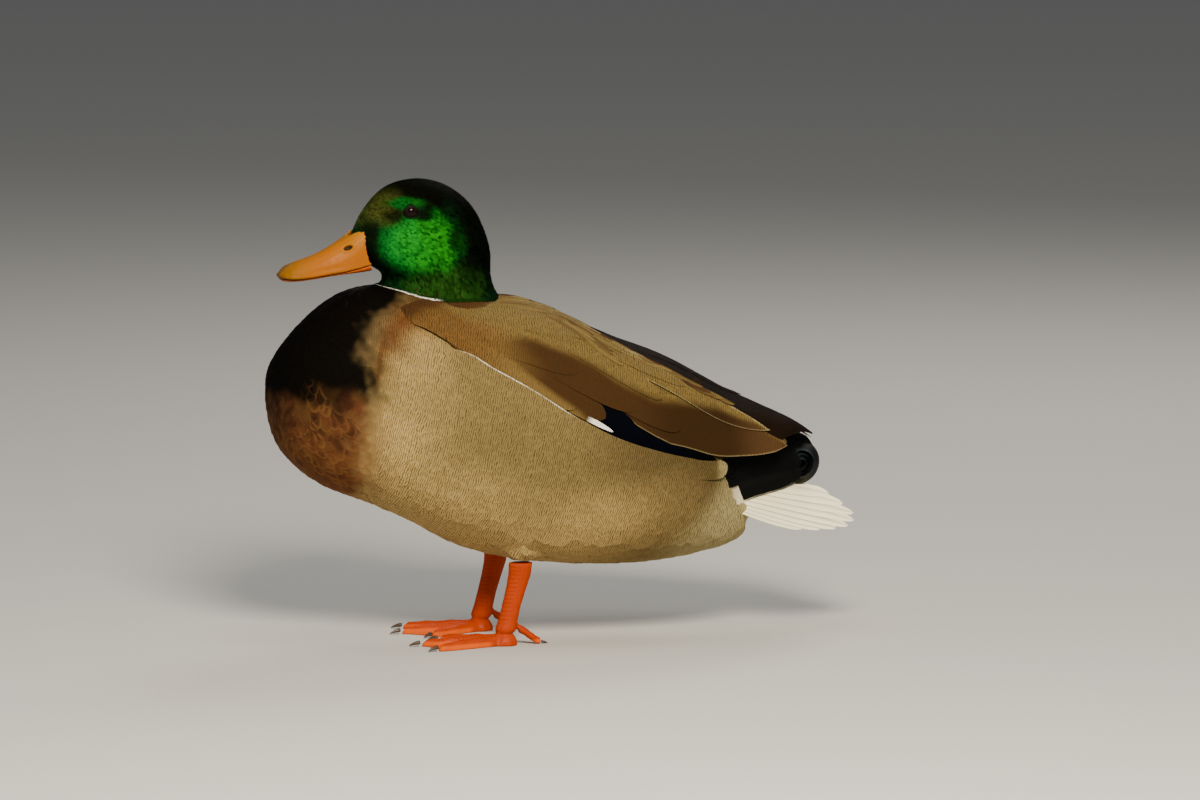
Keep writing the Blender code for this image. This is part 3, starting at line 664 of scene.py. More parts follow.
def fromEyes(points):    # metres from the nearer eye's axis
    gaps = []
    for centre, look in zip(eyeCentres, eyeLooks):
        away = points - np.array(centre)
        depth = away @ np.array(look)
        gaps.append(np.where(depth > 0, np.linalg.norm(away - depth[:, None] * np.array(look), axis=1), 1.))
    return np.minimum(*gaps)


def grainAt(feet, zones):    # smaller feathers on the face and high on the breast, larger down the flank
    y, z = feet[:, 1:].T
    factors = {"head": .62 + .38 * ramp(y + (240 - z) * .8, -74, -36),
               "breast": .62 + .38 * ramp(198 - z, 0, 60),
               "trunk": .72 + .28 * ramp(y, -70, -10), "thigh": .7 + .3 * ramp(z, 50, 62)}
    grain = np.ones(len(feet))
    for label, factor in factors.items():
        grain = np.where(np.char.startswith(zones, label), factor, grain)
    return grain


def lookOf(zones, column):
    names = list(coatLook)
    values = np.array([coatLook[name][column] for name in names])
    return values[[names.index(zone.split("_")[0]) for zone in zones]]


def flowAt(feet):    # which way the feathers lie
    y, z = feet[:, 1:].T
    zero = np.zeros(len(feet))
    front = ramp(-y, 40, 118) * ramp(z, 96, 150)
    body = np.stack([zero, 1 - .5 * ramp(-y, 90, 130), -.1 - 1.5 * front], 1)
    neck = np.tile((0., .22, -1.), (len(feet), 1))
    head = np.stack([zero, zero + 1, -.42 - .5 * ramp(y, -52, -24)], 1)
    lie = mixed(neck, head, ramp(z, 204, 232))
    lie = mixed(body, lie, ramp(z, 186, 204) * ramp(-y, -8, 6))
    return mixed(np.tile((0., .35, -1.), (len(feet), 1)), lie, ramp(z, 42, 56))


def lieOn(points, normals):
    flow = flowAt(toFeet(points))
    return unit(flow - normals * (flow * normals).sum(1)[:, None])


layLook = {
    "candidates": 6,            # places tried for each feather that finds room
    "sway": .1, "rise": .06,    # how unevenly the feathers turn and lift
    "sink": .25, "deepest": .0003,    # of the root: a share of the tip's lift, at most so many metres
    "follow": .2,               # how soon a feather turns with the lie under it
    "curve": 1.15, "edgeLift": .9, "thick": .035,
}


def scatterRoots(rng):    # roots on the skin, as far apart as the feathers there want
    quads = skinPoints[skinCorners]
    areas = np.linalg.norm(np.cross(quads[:, 2] - quads[:, 0], quads[:, 3] - quads[:, 1]), axis=1) / 2
    centres = quads.mean(1)
    zones = zonesAt(centres)
    grain = grainAt(toFeet(centres), zones)
    spacing = lookOf(zones, 2) * grain
    picked = np.repeat(np.arange(len(quads)), rng.poisson(areas / spacing ** 2 * layLook["candidates"]))
    rng.shuffle(picked)
    s, t = rng.random((2, len(picked), 1))
    first, second, third, fourth = (quads[picked, corner] for corner in range(4))
    points = (first * (1 - s) + second * s) * (1 - t) + (fourth * (1 - s) + third * s) * t
    tree = KDTree(len(points))
    for index, point in enumerate(points):
        tree.insert(point, index)
    tree.balance()
    taken = np.zeros(len(points), bool)
    kept = []
    for index, point in enumerate(points):
        if not taken[index]:
            kept.append(index)
            for _, other, _ in tree.find_range(point, spacing[picked[index]]):
                taken[other] = True
    chosen = picked[kept]
    return points[kept], chosen, zones[chosen], grain[chosen]


def growVanes(roots, length, half, lift, blunt, template, rng):    # laid along the skin, step by step
    along, across, sheet, _ = template
    levels, level = np.unique(along, return_inverse=True)
    places, normals, _ = settle(roots)
    sway = np.cross(normals, lieOn(places, normals)) * rng.normal(0, layLook["sway"], (len(roots), 1))
    direction = unit(lieOn(places, normals) + sway)
    rise = rng.normal(0, layLook["rise"], len(roots)) * lift
    rise = rise - np.minimum(lift * layLook["sink"], layLook["deepest"])
    lines = {"middle": [], "left": [], "right": [], "up": []}
    for share, step in zip(levels, np.diff(levels, prepend=0)):
        if step:
            places, normals, _ = settle(places + direction * (length * step)[:, None])
            direction = unit(direction - normals * (direction * normals).sum(1)[:, None])
            follow = layLook["follow"]
            direction = unit(direction * (1 - follow) + lieOn(places, normals) * follow)
        height = (rise + lift * share ** layLook["curve"])[:, None]
        offset = np.cross(direction, normals) * (half * outline(share, blunt))[:, None]
        lines["middle"].append(places + normals * height)
        lines["up"].append(normals)
        for label, sign in (("left", -1), ("right", 1)):
            edge, edgeNormals, _ = settle(places + offset * sign)
            lines[label].append(edge + edgeNormals * height * layLook["edgeLift"])
    middle, left, right, up = (np.stack(lines[label], 1)[:, level] for label in lines)
    u = across[:, None]
    corners = middle + (right - left) / 2 * u + ((right + left) / 2 - middle) * u * u
    thickness = half[:, None] * layLook["thick"] * sheet * (1 - across ** 2)
    return corners + up * thickness[..., None], up


def vaneMarks(template, length, half, chance, tones, strength, widths):
    along, across = template[:2]
    size, shape = len(along), (len(length), len(along))
    wide, down, chance, strength = (np.broadcast_to(values, shape) for values in (
        across, along, chance[:, None], strength[:, None]))
    marks = {label: np.repeat(values, size, 0) for label, values in zip(toneNames, tones)}
    mm = 1000
    marks["vane"] = np.stack([wide * half[:, None] * mm, down * length[:, None] * mm, chance], -1)
    rim = (1 - np.abs(wide)) * half[:, None] * widths
    rim = np.minimum(rim, (1 - down) * length[:, None]) * mm
    marks["shape"] = np.stack([rim, down, strength], -1)
    return marks


patch = .0015    # half of a tuft's patch on the unwrap
ownTone = .3    # share of a feather's colour that is the same all over it
bareEye = .0040    # metres from an eye's axis within which nothing grows


def spots(template, faces):    # where tufts lie on the unwrap
    along, across = template[:2]
    return faceUv[faces][:, None] + np.stack([across * patch, (along - .5) * 2 * patch], 1)[None]


def growCoat():
    rng = np.random.default_rng(12)
    roots, faces, zones, grain = scatterRoots(rng)
    eyeGap = fromEyes(roots)
    grain = grain * (.6 + .4 * ramp(eyeGap, bareEye, bareEye * 2))
    feet = toFeet(roots)
    y, z = feet[:, 1:].T
    covered = (zones == "wing") & (y > -46)    # by the wing's own large feathers
    behind = np.isin(zones, ("rump", "tailside")) & (y > 113)
    covered |= behind & (z > 85.5) & (z < 97)    # and by the tail coverts
    covered |= (zones == "undertail") & (y > 128) & (z > 62)
    clear = (eyeGap > bareEye) & ~covered
    roots, faces, zones, grain, feet = (values[clear] for values in (roots, faces, zones, grain, feet))
    tones = markings(feet, zones)
    kind = np.array([zone.split("_")[0] for zone in zones])
    side = np.where(feet[:, 0] > 0, "Left", "Right")
    group = np.where(np.isin(kind, ("trunk", "thigh", "wing")), np.char.add(kind, side), kind)
    group = np.where((kind == "trunk") & (feet[:, 2] < 52), "belly", group)
    for name in sorted(set(group)):
        chosen = group == name
        zone = kind[chosen][0]
        template = vaneTemplate(*coatLook[zone][5:])
        along = template[0]
        count = int(chosen.sum())
        vary = rng.uniform(.86, 1.14, count) ** (.3 if zone == "neck" else 1)
        length, half, lift = (coatLook[zone][column] * grain[chosen] * vary for column in (0, 1, 3))
        if zone == "trunk":    # the flank ends in a straight edge before the black
            end = flankEnd(feet[chosen, 2]) + rng.uniform(0, 3, count)
            length = np.minimum(length, np.maximum(end - feet[chosen, 1], 5) * .001)
            half = np.minimum(half, length * .5)
        corners, up = growVanes(roots[chosen], length, half, lift, coatLook[zone][4], template, rng)
        chance = rng.random(count)
        *tufts, strength = (values[chosen] for values in tones)
        marks = vaneMarks(template, length, half, chance, tufts, strength, outline(along, 2.))
        local = markings(toFeet(corners.reshape(-1, 3)), np.repeat(zones[chosen], len(along)))
        for label, values in zip(toneNames, local):
            marks[label] = mixed(values, marks[label], ownTone)
        marks["shape"][:, :, 2] = local[3].reshape(count, -1)
        joinedVanes(name + "Coat", corners, up, template, marks, spots(template, faces[chosen]),
                    coatMaterials[zone])


bodyDetail = {"Edge Width": 2.2, "Line Depth": .72, "Line Pitch": 1.25, "Barb Contrast": .05, "Spread": .08,
              "Shaft": .04}
coatMaterials = {
    "head": plumage("headPlumage", .5, {
        "Edge Width": .2, "Line Depth": 0., "Barb Pitch": .4, "Barb Contrast": .4, "Spread": 1.1,
        "Shaft": .1}, glossSpread=.2, bump=.5, shader={
        "Metallic": .75, "Specular IOR Level": .05, "Specular Tint": (.1, .3, .1, 1)}),
    "collar": plumage("collarPlumage", .7, {"Line Depth": 0., "Shaft": .05}),
    "breast": plumage("breastPlumage", .6, bodyDetail | {"Barb Contrast": .12}, glossSpread=.1),
    "trunk": plumage("flankPlumage", .7, bodyDetail),
    "wing": plumage("wingPlumage", .6, {
        "Edge Width": .3, "Line Depth": .5, "Line Pitch": 1.2, "Barb Contrast": .1, "Shaft": .3}),
    "rump": plumage("blackPlumage", .5, {
        "Edge Width": .4, "Line Depth": 0., "Barb Contrast": .2, "Spread": .5},
        glossSpread=.15, shader=satin),
    "tailside": plumage("tailBase", .6, {
        "Line Depth": 0., "Barb Pitch": .8, "Barb Contrast": .05, "Edge Width": .5, "Spread": .05,
        "Shaft": .1}),
}
for zone, same in (("neck", "head"), ("undertail", "rump"), ("thigh", "trunk")):
    coatMaterials[zone] = coatMaterials[same]
growCoat()


collarRing = {    # the white line at the foot of the neck
    "centre": (0, -44), "count": 330, "length": .0042, "half": .0010, "lift": .0012, "blunt": 1.6,
    "level": 203., "drop": .5, "outside": .08, "whiteFrom": (-78, -66), "whiteTo": (-50, -42),
}


def growCollar():    # a row of tufts over the ends of the neck's feathers, white at their tips
    rng = np.random.default_rng(19)
    look = collarRing
    roots = []
    for turn in np.linspace(0, 2 * math.pi, look["count"], endpoint=False):
        away = Vector((math.cos(turn), math.sin(turn), 0))
        level = look["level"]
        for _ in range(3):
            start = Vector(fromFeet((*look["centre"], level))) + away * look["outside"]
            hit = skinTree.ray_cast(start, -away)[0]
            y = toFeet(np.array(hit)[None])[0, 1]
            level = float(np.interp(y, *collarLine)) - look["drop"]
        roots.append(hit)
    roots = np.array(roots)
    count = len(roots)
    template = vaneTemplate(5, 3)
    along = template[0]
    vary = rng.uniform(.94, 1.06, count)
    length, half, lift = (look[label] * vary for label in ("length", "half", "lift"))
    corners, up = growVanes(roots, length, half, lift, look["blunt"], template, rng)
    tone = headTone(toFeet(roots)) * .4
    marks = vaneMarks(template, length, half, rng.random(count), (tone, tone * 1.2, tone), np.zeros(count),
                      outline(along, 2.))
    y = np.repeat(toFeet(roots)[:, 1], len(along))
    white = ramp(y, *look["whiteFrom"]) * (1 - ramp(y, *look["whiteTo"]))
    white = ramp(np.tile(along, count), .7, .8) * white
    for label in ("tone", "edge"):
        marks[label] = mixed(marks[label], palette["white"] * .8, white)
    joinedVanes("collarRing", corners, up, template, marks, spots(template, settle(roots)[2]),
                coatMaterials["collar"])


growCollar()

# Large feathers are each laid on a surface that two numbers name. A wing's row is cut by an upper
# line (y, z), a lower line (y, z), a half width, its widest level and the wing's edge angle.
bodyRows = np.array([
    (-139.5, 149, -139.5, 147, .6, .50, 40), (-135.5, 162.5, -138, 134, 20, .50, 40),
    (-125.5, 176, -134, 115, 34, .48, 40), (-112.5, 189.5, -123.5, 101, 44, .47, 40),
    (-96, 201, -107.5, 89, 52, .46, 40), (-77, 206, -86, 80.5, 57.5, .45, 40),
    (-52, 203, -58, 68, 62, .45, 44), (-25, 196.5, -28, 53, 65.5, .44, 58), (6, 194.5, 4, 45, 67.5, .44, 68),
    (36, 184, 36, 41.5, 67, .45, 74.5), (66, 171, 66, 40.5, 63, .46, 80), (92, 160.5, 92, 42, 56, .48, 86),
    (113, 149, 114, 46, 48, .52, 90), (128, 140.5, 131, 50, 42, .58, 90), (145, 133.5, 145, 50, 36, .66, 90),
    (160, 127, 160, 50, 31, .76, 90), (171, 120.5, 171, 50, 20, .84, 90), (180, 113.5, 180, 50, 9, .95, 90)])
bodyFullness = 2.25


def rowAt(position):    # a smooth curve through the rows
    start = np.clip(np.floor(position).astype(int), 0, len(bodyRows) - 2)
    share = (position - start)[:, None]
    before, here, after, later = (
        bodyRows[np.clip(start + step, 0, len(bodyRows) - 1)] for step in (-1, 0, 1, 2))
    return (2 * here + (after - before) * share + (2 * before - 5 * here + 4 * after - later) * share ** 2
            + (3 * here - before - 3 * after + later) * share ** 3) / 2


def bulge(angle, fullness):    # how far out and up a full curve has come at an angle
    return [np.sign(wave) * np.abs(wave) ** (2 / fullness) for wave in (np.sin(angle), np.cos(angle))]


def onWing(side):    # row, and share of the way from the ridge to the wing's lower edge
    def surface(row, share):
        topY, topZ, lowY, lowZ, half, level, edge = rowAt(row).T
        out, up = bulge(np.radians(share * edge * side), bodyFullness)
        middleZ, midY = lowZ + level * (topZ - lowZ), lowY + level * (topY - lowY)
        reach = np.where(up > 0, topZ - middleZ, middleZ - lowZ)
        lean = np.where(up > 0, topY - midY, midY - lowY)
        return fromFeet(np.stack([out * half, midY + up * lean, middleZ + up * reach], -1))
    return surface


def bladeOutline(blade, along):
    defaults = {"blunt": 2.2, "neck": .2, "fall": .45, "point": .5}
    return outline(along, *(blade.get(label, value) for label, value in defaults.items()))


def layBlades(surface, turn, blades, template):    # turn is 1 where a cross b points inwards
    along, across, sheet, _ = template
    corners, normals, rows = [], [], []
    for blade in blades:
        t = along[:, None]
        if "curve" in blade:    # a long path: first and last row, and a polynomial for the share
            first, last, curve = blade["curve"]
            rowOf = first + (last - first) * along
            line = np.stack([rowOf, np.polyval(curve, rowOf)], 1)
            slope = np.stack([np.ones(len(along)), np.polyval(np.polyder(curve), rowOf)], 1)
        else:
            start, via, tip = (np.array(blade[key], float) for key in ("root", "via", "tip"))
            line = start * (1 - t) ** 2 + via * 2 * t * (1 - t) + tip * t ** 2
            slope = (via - start) * (1 - t) + (tip - via) * t
        stepA, stepB = blade.get("step", (.02, .01))
        a, b = line.T
        here = surface(a, b)
        alongA = (surface(a + stepA, b) - surface(a - stepA, b)) / stepA / 2
        alongB = (surface(a, b + stepB) - surface(a, b - stepB)) / stepB / 2
        normal = unit(np.cross(alongB, alongA)) * turn
        forward = unit(alongA * slope[:, :1] + alongB * slope[:, 1:])
        side = np.cross(normal, forward) * turn
        aa, ab, bb = (alongA ** 2).sum(1), (alongA * alongB).sum(1), (alongB ** 2).sum(1)
        sa, sb = (alongA * side).sum(1), (alongB * side).sum(1)
        wide = blade["half"] * .001 * bladeOutline(blade, along) * across
        whole = aa * bb - ab ** 2
        offA, offB = (sa * bb - sb * ab) / whole * wide, (sb * aa - sa * ab) / whole * wide
        base, lift, tilt = (value * .001 for value in blade["height"])
        thick = blade.get("thick", .5) * .0005
        height = base + lift * along ** 1.2 - tilt * across
        height = height + blade.get("camber", .3) * .001 * (1 - across ** 2)
        height = height - blade.get("sink", 0) * .001 * (1 - ramp(along, 0, .4))
        place = surface(a + offA, b + offB)
        place += normal * (height + thick * sheet * (1 - across ** 2))[:, None]
        corners.append(place)
        normals.append(normal)
        length = np.linalg.norm(np.diff(here[np.argsort(along)], axis=0), axis=1).sum()
        rows.append((length, a + offA, b + offB))
    return np.stack(corners), np.stack(normals), np.array([row[0] for row in rows]), [row[1:] for row in rows]


def largeFeathers(name, surface, turn, blades, template, toneAt, material, rng, replaced=()):
    along, across = template[:2]
    count, size = len(blades), len(along)
    corners, normals, length, places = layBlades(surface, turn, blades, template)
    half = np.array([blade["half"] * .001 for blade in blades])
    widths = np.array([bladeOutline(blade, along) for blade in blades])
    blank = [np.zeros((count, 3))] * 3
    marks = vaneMarks(template, length, half, rng.random(count), blank, np.ones(count), widths)
    for order, (blade, (a, b)) in enumerate(zip(blades, places)):
        *tones, strength = toneAt(blade, a, b, along, across)
        for label, values in zip(toneNames, tones):
            marks[label][order * size:(order + 1) * size] = values
        marks["shape"][order, :, 2] = strength
    columns = math.ceil(math.sqrt(count))
    order = np.arange(count)[:, None]
    uv = np.stack([(order % columns + .5 + across * .46) / columns,
                   (order // columns + .04 + along * .92) / columns], -1)
    return joinedVanes(name, corners, normals, template, marks, uv, material, replaced)


wingLook = {    # each feather's root, bend and tip as row and share; half width, base, lift and tilt in mm
    "scapulars": [
        (5.9, .08, 7.0, .05, 8.2, .06, 9, -.2, .8, .1),
        (6.6, .10, 8.0, .08, 9.5, .25, 9, -.3, .8, .1),
        (6.0, .22, 7.4, .16, 8.9, .25, 10, -.3, .8, .2),
        (7.0, .20, 8.6, .18, 10.4, .34, 9, -.4, .8, .2),
        (6.0, .34, 7.5, .26, 9.4, .37, 11, -.5, .8, .3),
        (7.2, .28, 9.0, .30, 11.2, .46, 10, -.6, .8, .3),
        (5.9, .46, 7.2, .36, 8.9, .46, 11, -.6, .8, .3),
        (6.5, .40, 8.3, .34, 10.5, .66, 12, -.7, .8, .4),
        (5.7, .60, 6.8, .54, 7.9, .60, 12, -.7, .9, .3),
        (6.3, .60, 7.6, .58, 8.8, .72, 15, -.8, .9, .3),
        (7.2, .60, 8.5, .64, 9.9, .80, 14, -1.0, .9, .3),
        (8.0, .62, 9.3, .66, 10.9, .82, 12, -1.1, .9, .3),
        (5.4, .77, 6.4, .79, 7.3, .84, 11, -.9, .7, .1),
        (6.1, .79, 7.1, .83, 8.0, .91, 10, -1.1, .7, .1),
        (7.0, .83, 7.9, .87, 8.7, .96, 10, -1.2, .7, .1),
        (8.4, .982, 8.9, .987, 9.38, .998, 1.7, -1.2, .8, .1),
        (7.6, .80, 8.5, .86, 9.25, .94, 9, -1.4, .5, .2),
        (6.2, .34, 9.0, .36, 12.2, .42, 24, -1.9, .1, 0),
        (8.8, .1, 11, .08, 13.6, .06, 12, -1.0, .3, .3),
    ],
    "tertials": [
        (7.4, .06, 9.6, .10, 12.2, .14, 18, -1.5, .4, .2),
        (8.6, .12, 11.6, .16, 14.9, .30, 23, -1.6, .6, .2),
        (8.9, .36, 12.2, .47, 14.15, .72, 10, -.9, .9, .4),
        (9.5, .84, 12.3, .53, 14.85, .98, 16, -1.5, .8, .4),
    ],
    "secondaries": {"count": 7, "first": ((9.0, .84), (10.2, .86), (11.6, .90)),
                    "last": ((9.1, 1.0), (10.6, 1.0), (12.1, .98)), "half": 6.5, "height": (-1.8, .3, .3)},
    "primaries": {"count": 7, "first": ((11.6, .30), (14.0, .26), (17.0, .42)),
                  "last": ((11.6, .62), (13.4, .62), (14.9, .80)), "half": 7.0, "height": (-1.8, 1.0, .2)},
}
whiteBar = 15    # the scapular that lies as a narrow white bar over the speculum's front
wingLines = {    # rows, and the share where each line of the pattern lies there
    "ridge": ((8.2, 8.5, 9.0, 9.55, 10.3, 11.25, 12.3, 13.35, 14.1),
              (-.12, -.04, .15, .25, .34, .40, .41, .50, .70)),
    "band": ((7, 8, 8.7, 9.25, 10.3, 10.95, 12.15, 13.7, 14.85),
             (.70, .62, .60, .62, .68, .62, .55, .66, .98)),
    "strip": ((7.3, 7.8, 8.35, 9.0), (.78, .89, .955, .99)),
}


def bladeRow(look):    # feathers fanned between a first and a last, each a little lower
    found = []
    base, lift, tilt = look["height"]
    for index in range(look["count"]):
        share = index / (look["count"] - 1)
        root, via, tip = (np.array(a) * (1 - share) + np.array(b) * share
                          for a, b in zip(look["first"], look["last"]))
        found.append({"root": root, "via": via, "tip": tip, "half": look["half"],
                      "height": (base - .05 * index, lift, tilt), "blunt": 1.8})
    return found


def wingTone(blade, row, share, along, across):
    kind, plain = blade["kind"], np.zeros(len(row))
    backShadeBrown = (palette["darkBrown"] + palette["black"]) / 2
    noise = np.sin(row * 5.1 + share * 9) * .5 + np.sin(row * 2.3 - share * 17) * .5
    if kind == "primaries":
        # painted shade: the primaries are painted near black over their dusky brown
        tone = np.tile(palette["darkBrown"], (len(row), 1))
        return tone, tone * 1.9, tone * .6, plain
    if kind == "secondaries":
        tone = between("speculum", "black", ramp(along, .78, .86))
        return tone, tone, palette["black"], plain
    ridgeAt, bandAt, stripAt = (np.interp(row, *line) for line in wingLines.values())
    noise = noise * (1 - ramp(row, 9.5, 10.5))
    band = ramp(share + noise * .02, bandAt - .05, bandAt + .05) * ramp(row + noise * .15, 7.0, 8.1)
    strip = ramp(share + noise * .01, stripAt - .03, stripAt + .03) * (1 - ramp(row, 8.7, 9.0))
    deep = ramp(row, 9.6, 10.8) * (1 - ramp(row, 12.6, 14.4)) * band
    shoulder = ramp(share, .42, .66) * (1 - ramp(row + noise * .15, 6.7, 8.2))
    blotch = ramp(np.sin(row * 7.3 + share * 31) + np.sin(row * 13.1 - share * 23), -.2, .8)
    top = (1 - ramp(share + noise * .03, .12, .32)) * (1 - ramp(row, 8.6, 9.2)) * blotch
    front = 1 - ramp(row + share * 1.7 + noise * .1, 6.9, 7.4)
    rim = (1 - ramp(share, ridgeAt + .01, ridgeAt + .05)) * ramp(row, 8.0, 8.8)
    # painted shade: the back beyond the ridge line is painted near black
    back = (1 - ramp(share + noise * .01, ridgeAt - .03, ridgeAt)) * ramp(row, 8.1, 8.6)
    tone = layered(
        between("scapular", "brown", band * (1 - strip * .9)), ("darkBrown", deep * .4),
        (palette["mantle"] * 1.2, ramp(row, 12.4, 14.2) * band),
        ("rust", np.maximum(shoulder * .55, strip * .15)), ("mantle", top * .8),
        ("nape", front * .85), ("cream", rim * .5), (backShadeBrown, back))
    paleEdge = (1 - ramp(share, ridgeAt + .04, ridgeAt + .2)) * .6 * (1 - back)
    if kind == "tertials":
        paleEdge = plain + .6
        if blade["order"] < 2:    # the two upper tertials are painted near black: painted shade along the ridge, between the wings
            tone = np.tile(backShadeBrown, (len(row), 1))
            paleEdge, band = paleEdge * .05, plain + 1
    edge = mixed(tone * 1.06, palette["cream"], paleEdge * (1 - band * .5))
    if kind == "scapulars" and blade["order"] == whiteBar:
        tone = edge = mixed(tone, palette["white"], ramp(along, .5, .6))
    return tone, edge, mixed(tone * .45, palette["flankLine"], plain + .4), 1 - band * .5


wingDetail = {"Line Pitch": 1.4, "Line Depth": .85, "Barb Contrast": .05, "Edge Width": .7, "Shaft": .15,
              "Spread": .06}
wingForms = {"scapulars": {"fall": .4, "sink": 1.5}, "tertials": {"blunt": 1.5, "point": .85, "fall": .4}}


def makeWings():
    rng = np.random.default_rng(31)
    template = vaneTemplate(18, 11)
    materials = {
        "scapulars": plumage("scapularPlumage", .6, wingDetail),
        "tertials": plumage("tertialPlumage", .6, wingDetail),
        "secondaries": plumage("speculumPlumage", .5, wingDetail | {"Line Depth": 0., "Edge Width": .4}),
        "primaries": plumage("primaryPlumage", .6, wingDetail | {"Edge Width": .4}),
    }
    for sideName, side in sides.items():
        for kind, look in wingLook.items():
            if isinstance(look, dict):
                blades = bladeRow(look)
            else:
                blades = [{"root": row[:2], "via": row[2:4], "tip": row[4:6], "half": row[6],
                           "height": row[7:], **wingForms[kind]} for row in look]
            for order, blade in enumerate(blades):
                blade.update(kind=kind, order=order)
            largeFeathers(kind + sideName.title(), onWing(side), side, blades, template, wingTone,
                          materials[kind], rng)


flankEdge = {    # rows and shares of the line where the flank ends against the wing
    "line": ((6.3, 6.65, 7.25, 7.65, 8.25, 8.9, 9.3, 9.9, 10.55, 11.15, 11.8, 12.3),
             (1.09, 1.03, .975, .975, 1.0, 1.02, 1.01, .985, .965, .95, .935, .925)),
    "rows": (6.2, 12.35), "below": .078, "half": 6.6, "height": (-.75, 0, -1.2),
}


def edgeTone(blade, row, share, along, across):    # pale along its upper rim
    tone = bodyTone(toFeet(blade["surface"](row, share)))
    rim = ramp(across, .3, .6) * ramp(row, 6.5, 7.0) * (1 - ramp(row, 8.3, 8.8))
    rim *= .35 + .5 * ramp(np.sin(row * 19) + np.sin(row * 7.7), -.6, .6)
    return tone, mixed(tone, palette["white"], rim), palette["flankLine"], np.ones(len(row))


def edgeFlanks():    # the flank's upper rim lies over the wing's lower edge
    rng = np.random.default_rng(17)
    material = plumage("flankEdgePlumage", .7, bodyDetail | {"Edge Width": .6})
    rows, shares = flankEdge["line"]
    curve = np.polyfit(rows, np.array(shares) + flankEdge["below"], 5)
    for sideName, side in sides.items():
        surface = onWing(side)
        blade = {"curve": (*flankEdge["rows"], curve), "half": flankEdge["half"],
                 "height": flankEdge["height"], "neck": .08, "fall": .94, "surface": surface}
        largeFeathers("flankEdge" + sideName.title(), surface, side, [blade], vaneTemplate(48, 9),
                      edgeTone, material, rng)


ridgeLook = {    # small mottled feathers along the top of the wing
    "rows": (7.2, 11.9), "count": 22, "offsets": (0, .05, .10, .15, .20, .25),
    "thin": 8.9,    # the row from which only the first offset is used
    "reach": .9, "half": 2.9, "height": (-.1, .8, .2), "darkShares": (0, .4, 1), "uneven": (.15, .015),
}


def ridgeTone(blade, row, share, along, across):
    tone = between("scapular", "mantle", np.full(len(row), blade["dark"]))
    ridgeAt = np.interp(row, *wingLines["ridge"])
    # painted shade: beyond the ridge line the feathers are painted dark brown
    back = (1 - ramp(share, ridgeAt - .03, ridgeAt)) * ramp(row, 8.1, 8.6)
    edge = mixed(tone, palette["cream"], (.8 - share * 3).clip(0, 1) * (1 - back))
    shown, rim = (mixed(part, palette["darkBrown"], back) for part in (tone, edge))
    return shown, rim, tone * .5, 1 - back


def makeRidge():
    rng = np.random.default_rng(23)
    look = ridgeLook
    unevenRow, unevenShare = look["uneven"]
    material = plumage("ridgePlumage", .65, {
        "Line Pitch": 1.25, "Line Depth": .4, "Barb Contrast": .08, "Edge Width": .9, "Shaft": .2,
        "Spread": .2})
    for sideName, side in sides.items():
        blades = []
        for row in np.linspace(*look["rows"], look["count"]):
            for offset in look["offsets"][:1 if row > look["thin"] else None]:
                start = row + rng.uniform(-unevenRow, unevenRow)
                stops = np.array([start, start + look["reach"] / 2, start + look["reach"]])
                shares = np.maximum(np.interp(stops, *wingLines["ridge"]), 0)
                shares = shares + offset + rng.uniform(-unevenShare, unevenShare)
                blades.append(dict(zip(("root", "via", "tip"), zip(stops, shares))))
                blades[-1].update(half=look["half"], height=look["height"], blunt=2.,
                                  dark=rng.choice(look["darkShares"]) * (1 - 2 * offset))
        largeFeathers("ridge" + sideName.title(), onWing(side), side, blades, vaneTemplate(8, 5), ridgeTone,
                      material, rng)


makeWings()
makeRidge()
edgeFlanks()


tailLook = {    # the ridge's y and z; the droop to the sides; each tip's x and y
    "ridge": ((116, 128, 142, 156, 170, 184, 194, 203), (92.5, 91, 89, 87, 84.5, 81.5, 79, 76.5)),
    "droop": math.tan(math.radians(31)),
    "tips": ((5, 190), (10, 197), (15.5, 202), (21, 201), (26.5, 196), (30.5, 188), (33.2, 178), (34.8, 167)),
    "rootY": 112, "rootX": (2, 13), "half": (8.5, 6), "layer": .42, "thick": .45,
    "bend": (.72, .4), "bendY": (150, -6),    # shares of the tip's and the root's x; y, inner and added
}
curlLook = {"x": (4.4, 3.6, 4.8, 4.0), "centre": (172.5, 96.5), "radii": (13.3, 9.6),
            "turns": ((-104, 138), (-102, 172), (-98, 150), (-94, 120)), "tightens": (-104, 138),
            "half": 3.6}


def onTail(x, y):
    z = np.interp(y, *tailLook["ridge"]) - np.abs(x) * tailLook["droop"]
    return fromFeet(np.stack([x, y, z], -1))


def tailTone(blade, x, y, along, across):
    grey = ramp(-np.abs(across - .1), -.5, 0) * ramp(along, .1, .5) * .6
    tone = between("tail", "tailGrey", grey * blade["grey"])
    edge = between("tail", "tailGrey", .75 * (1 - ramp(along, .8, .95)))
    return tone, edge, palette["tailGrey"], np.zeros(len(x))


def makeTail():
    rng = np.random.default_rng(8)
    look = tailLook
    (tipShare, rootShare), (bendY, added) = look["bend"], look["bendY"]
    material = plumage("tailPlumage", .55, {
        "Line Depth": 0., "Barb Pitch": .9, "Barb Contrast": .05, "Edge Width": .5, "Shaft": .5,
        "Spread": .06}, shader=satin)
    for sideName, side in sides.items():
        blades = []
        for order, (x, y) in enumerate(look["tips"]):
            share = order / (len(look["tips"]) - 1)
            rootX, half = (first + share * (last - first) for first, last in (look["rootX"], look["half"]))
            blades.append({"root": (side * rootX, look["rootY"]), "tip": (side * x, y), "half": half,
                           "via": (side * (x * tipShare + rootX * rootShare), bendY + added * share),
                           "step": (.2, .2),
                           "blunt": 2.0, "height": (-.4 - look["layer"] * order, .3, 0),
                           "thick": look["thick"], "fall": .6, "camber": .1, "grey": .4 + .6 * share})
        largeFeathers("tailFeathers" + sideName.title(), onTail, -1, blades, vaneTemplate(18, 9), tailTone,
                      material, rng, [f"tail_{sideName}"])


